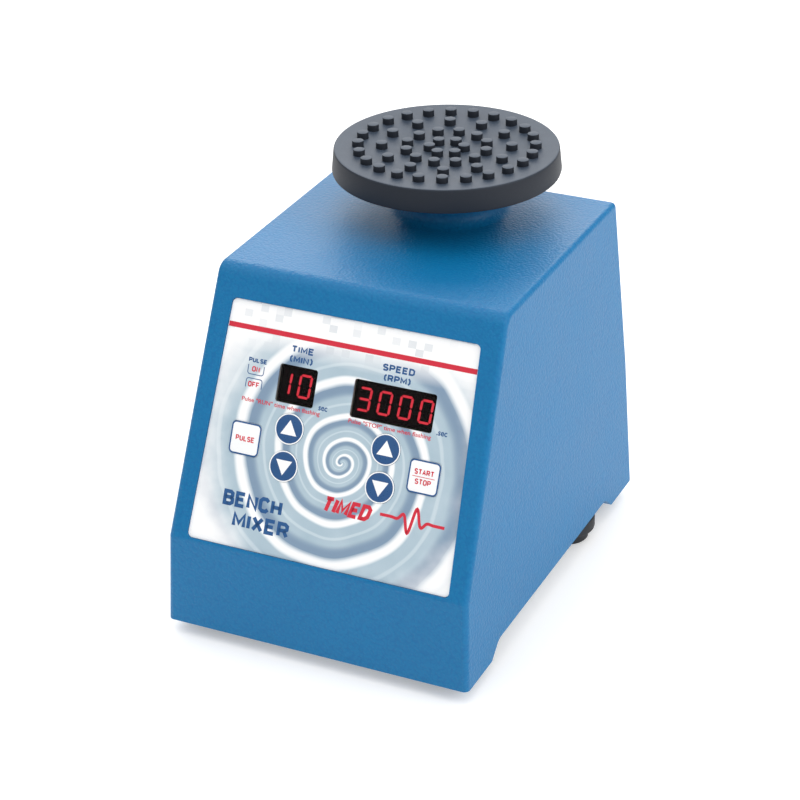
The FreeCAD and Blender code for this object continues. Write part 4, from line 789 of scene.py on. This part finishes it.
key_blue = moulding("blue_printed_key_film", "#1C4A7C", "#225388", 0.5 * mm, 0.01 * mm, 0.3, IOR=1.57)
key_white = moulding("white_printed_key_film", "#F4F6F7", "#FCFDFD", 0.5 * mm, 0.01 * mm, 0.3, IOR=1.57)
ink_blue = moulding("blue_screen_ink", "#1D4F84", "#23588F", 0.4 * mm, 0.005 * mm, 0.4)
ink_red = moulding("red_screen_ink", "#CC1F36", "#D62A40", 0.4 * mm, 0.005 * mm, 0.4)
ink_white = moulding("white_screen_ink", "#F7F9FA", "#FDFEFE", 0.4 * mm, 0.005 * mm, 0.35)

for name, way in (("key_time_up", 1), ("key_time_down", -1), ("key_speed_up", 1), ("key_speed_down", -1)):
    centre = on_panel(name)
    pillow = bmesh.new()
    slab(pillow, [(round_outline(radius, centre), height) for radius, height in (
        (5.7, -0.4), (5.7, 0.02), (5.62, 0.1), (5.4, 0.18), (5.0, 0.24), (4.0, 0.27), (2.0, 0.28))])
    key = finish_piece(name + "_pillow", pillow, key_blue, 60)
    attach(key, name + "_cap")
    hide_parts(name)
    legend = bmesh.new()
    band(legend, round_outline(5.66, centre), round_outline(5.24, centre), 0.05, 0.24)
    arrow = [(centre[0] + x, centre[1] + way * y) for x, y in ((0.0, 3.3), (-3.2, -2.2), (3.2, -2.2))][::way]
    slab(legend, [(arrow, LEGEND_LOW), (arrow, PROUD)])
    white = finish_piece(name + "_legend", legend, ink_white)
    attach(white, name + "_cap")

for name, lines in (("key_pulse", (("PULSE", 7.6, 0.0),)),
                    ("key_start_stop", (("START", 7.6, 1.75), ("STOP", 6.2, -1.75)))):
    centre = on_panel(name)
    pillow = bmesh.new()
    slab(pillow, [(soft_rectangle(KEY_SIDE - 2 * inset, KEY_SIDE - 2 * inset, max(KEY_CORNER - inset, 0.4),
                                  centre), height)
                  for inset, height in ((0.0, -0.4), (0.0, 0.02), (0.08, 0.1), (0.3, 0.18), (0.7, 0.24),
                                        (1.5, 0.27))])
    key = finish_piece(name + "_pillow", pillow, key_white, 60)
    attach(key, name + "_cap")
    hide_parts(name)
    legend = bmesh.new()
    band(legend, soft_rectangle(11.96, 11.96, 1.78, centre), soft_rectangle(10.9, 10.9, 1.3, centre),
         0.05, 0.25)
    rim = finish_piece(name + "_rim", legend, ink_blue)
    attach(rim, name + "_cap")
    words = bmesh.new()
    for word, width, rise in lines:
        capitals(words, word, (width, 2.0), (centre[0], centre[1] + rise), SMALL_STROKE, LEGEND_LOW, PROUD)
    if len(lines) > 1:
        stroke(words, [(centre[0] - 4.3, centre[1]), (centre[0] + 4.3, centre[1])], 0.22, LEGEND_LOW, PROUD)
    label = finish_piece(name + "_words", words, ink_red)
    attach(label, name + "_cap")

# ---- Print on the film
# Screen-printed inks: a red rule across the top, blue names of what the displays show, and plain words
# and a wave along the bottom.

RULE_ENDS = (-49.0, 49.0)
RULE_UP = 35.2
RULE_WIDTH = 1.9
WAVE_START = (21.5, -21.0)
WAVE_SWELL = 5.2

blue_print = bmesh.new()
time_u, time_v = on_panel("time_window")
speed_u, speed_v = on_panel("speed_window")
for word, size, centre in (
        ("TIME", (9.0, 2.5), (time_u + 0.3, time_v + 12.9)),
        ("(MIN)", (9.1, 2.5), (time_u + 0.3, time_v + 9.3)),
        ("SPEED", (12.5, 2.5), (speed_u, speed_v + 12.9)), ("(RPM)", (10.4, 2.5), (speed_u, speed_v + 9.3)),
        ("PULSE", (7.4, 1.7), (-35.2, time_v + 6.1))):
    capitals(blue_print, word, size, centre, size[1] * 0.25)
for word, centre in (("sec", (time_u + 11.7, time_v - 5.9)), (".sec", (speed_u + 20.0, speed_v - 5.9))):
    letters(blue_print, word, 2.1, centre, squeeze=0.9, bold=0.02)
for word, size, centre in (("BENCH", (24.0, 5.8), (-28.5, -27.2)), ("MIXER", (23.0, 5.8), (-24.0, -34.6))):
    capitals(blue_print, word, size, centre, 1.4)
for way, centre in ((1, (-35.5, time_v + 2.6)), (-1, (-35.5, time_v - 2.3))):
    tab = [(centre[0] - 3.2, centre[1] + way * 1.7), (centre[0] - 3.2, centre[1] - way * 0.8)]
    tab += [(centre[0] - 2.3 - 0.9 * math.cos(turn), centre[1] - way * (0.8 + 0.9 * math.sin(turn)))
            for turn in (math.radians(30), math.radians(60), math.radians(90))]
    tab += [(2 * centre[0] - x, y) for x, y in reversed(tab)]
    stroke(blue_print, tab, 0.3, INK_SUNK, INK)
blue_lettering = finish_piece("blue_print", blue_print, ink_blue)
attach(blue_lettering, "housing")

red_print = bmesh.new()
stroke(red_print, [(end, RULE_UP) for end in RULE_ENDS], RULE_WIDTH, INK_SUNK, INK)
for word, width, up in (("ON", 3.2, 2.9), ("OFF", 4.6, -2.7)):
    capitals(red_print, word, (width, 2.0), (-35.5, time_v + up), SMALL_STROKE)
for word, centre in (("Pulse \"RUN\" time when flashing", (time_u - 5.0, time_v - 8.3)),
                     ("Pulse \"STOP\" time when flashing", (speed_u, speed_v - 8.3))):
    letters(red_print, word, 1.45, centre, squeeze=1.15, bold=0.012)
capitals(red_print, "TIMED", (19.0, 6.0), (8.5, -21.8), 1.45, slant=0.28)
# A plain level line with one swell in it, drawn as a sine under a bell.
wave = []
for step in range(101):
    swing = math.sin(2 * math.pi * (step - 50) / 22) * math.exp(-((step - 50) / 15) ** 2)
    wave.append((WAVE_START[0] + 0.25 * step, WAVE_START[1] + WAVE_SWELL * swing))
stroke(red_print, wave, 1.1, INK_SUNK, INK)
red_lettering = finish_piece("red_print", red_print, ink_red)
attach(red_lettering, "housing")

# ---- Mains inlet
# A black thermoplastic module in the back wall: an appliance socket with three nickel-plated pins, a
# fuse drawer under it and a red rocker switch beside it, held by two countersunk screws.

inlet_black = moulding("moulded_inlet_thermoplastic", "#141516", "#1D1E20", 0.45 * mm, 0.02 * mm, 0.48)
dress(inlet_black, "power_inlet", "switch_frame", "fuse_drawer")
for name in ("power_inlet", "switch_frame", "fuse_drawer"):
    ease(name, 0.3 * mm)
pin_metal = moulding("nickel_plated_pins", "#A8A498", "#C4C0B4", 0.3 * mm, 0.005 * mm, 0.25, Metallic=1.0)
dress(pin_metal, "inlet_pins")
ease("inlet_pins", 0.3 * mm)

# Fuse glass: clear tube with a trace of green at its edges.
glass, tree, shader, place = new_material("clear_fuse_glass")
tint = add(tree, "TexNoise", {"Vector": place, "Scale": 1 / (4 * mm)})
put(tree, shader, {
    "Base Color": add(tree, "MixRGB", {"Fac": tint, "Color1": linear("#DDE8E6"), "Color2": linear("#EAF1F0")}),
    "Roughness": 0.05, "IOR": 1.5, "Transmission Weight": 0.8})
dress(glass, "fuses")
rocker_red = moulding("translucent_red_rocker", "#A01218", "#B81A20", 0.5 * mm, 0.01 * mm, 0.25, IOR=1.5)
dress(rocker_red, "power_rocker")
ease("power_rocker", 0.35 * mm)
dress(plated, "inlet_screws")
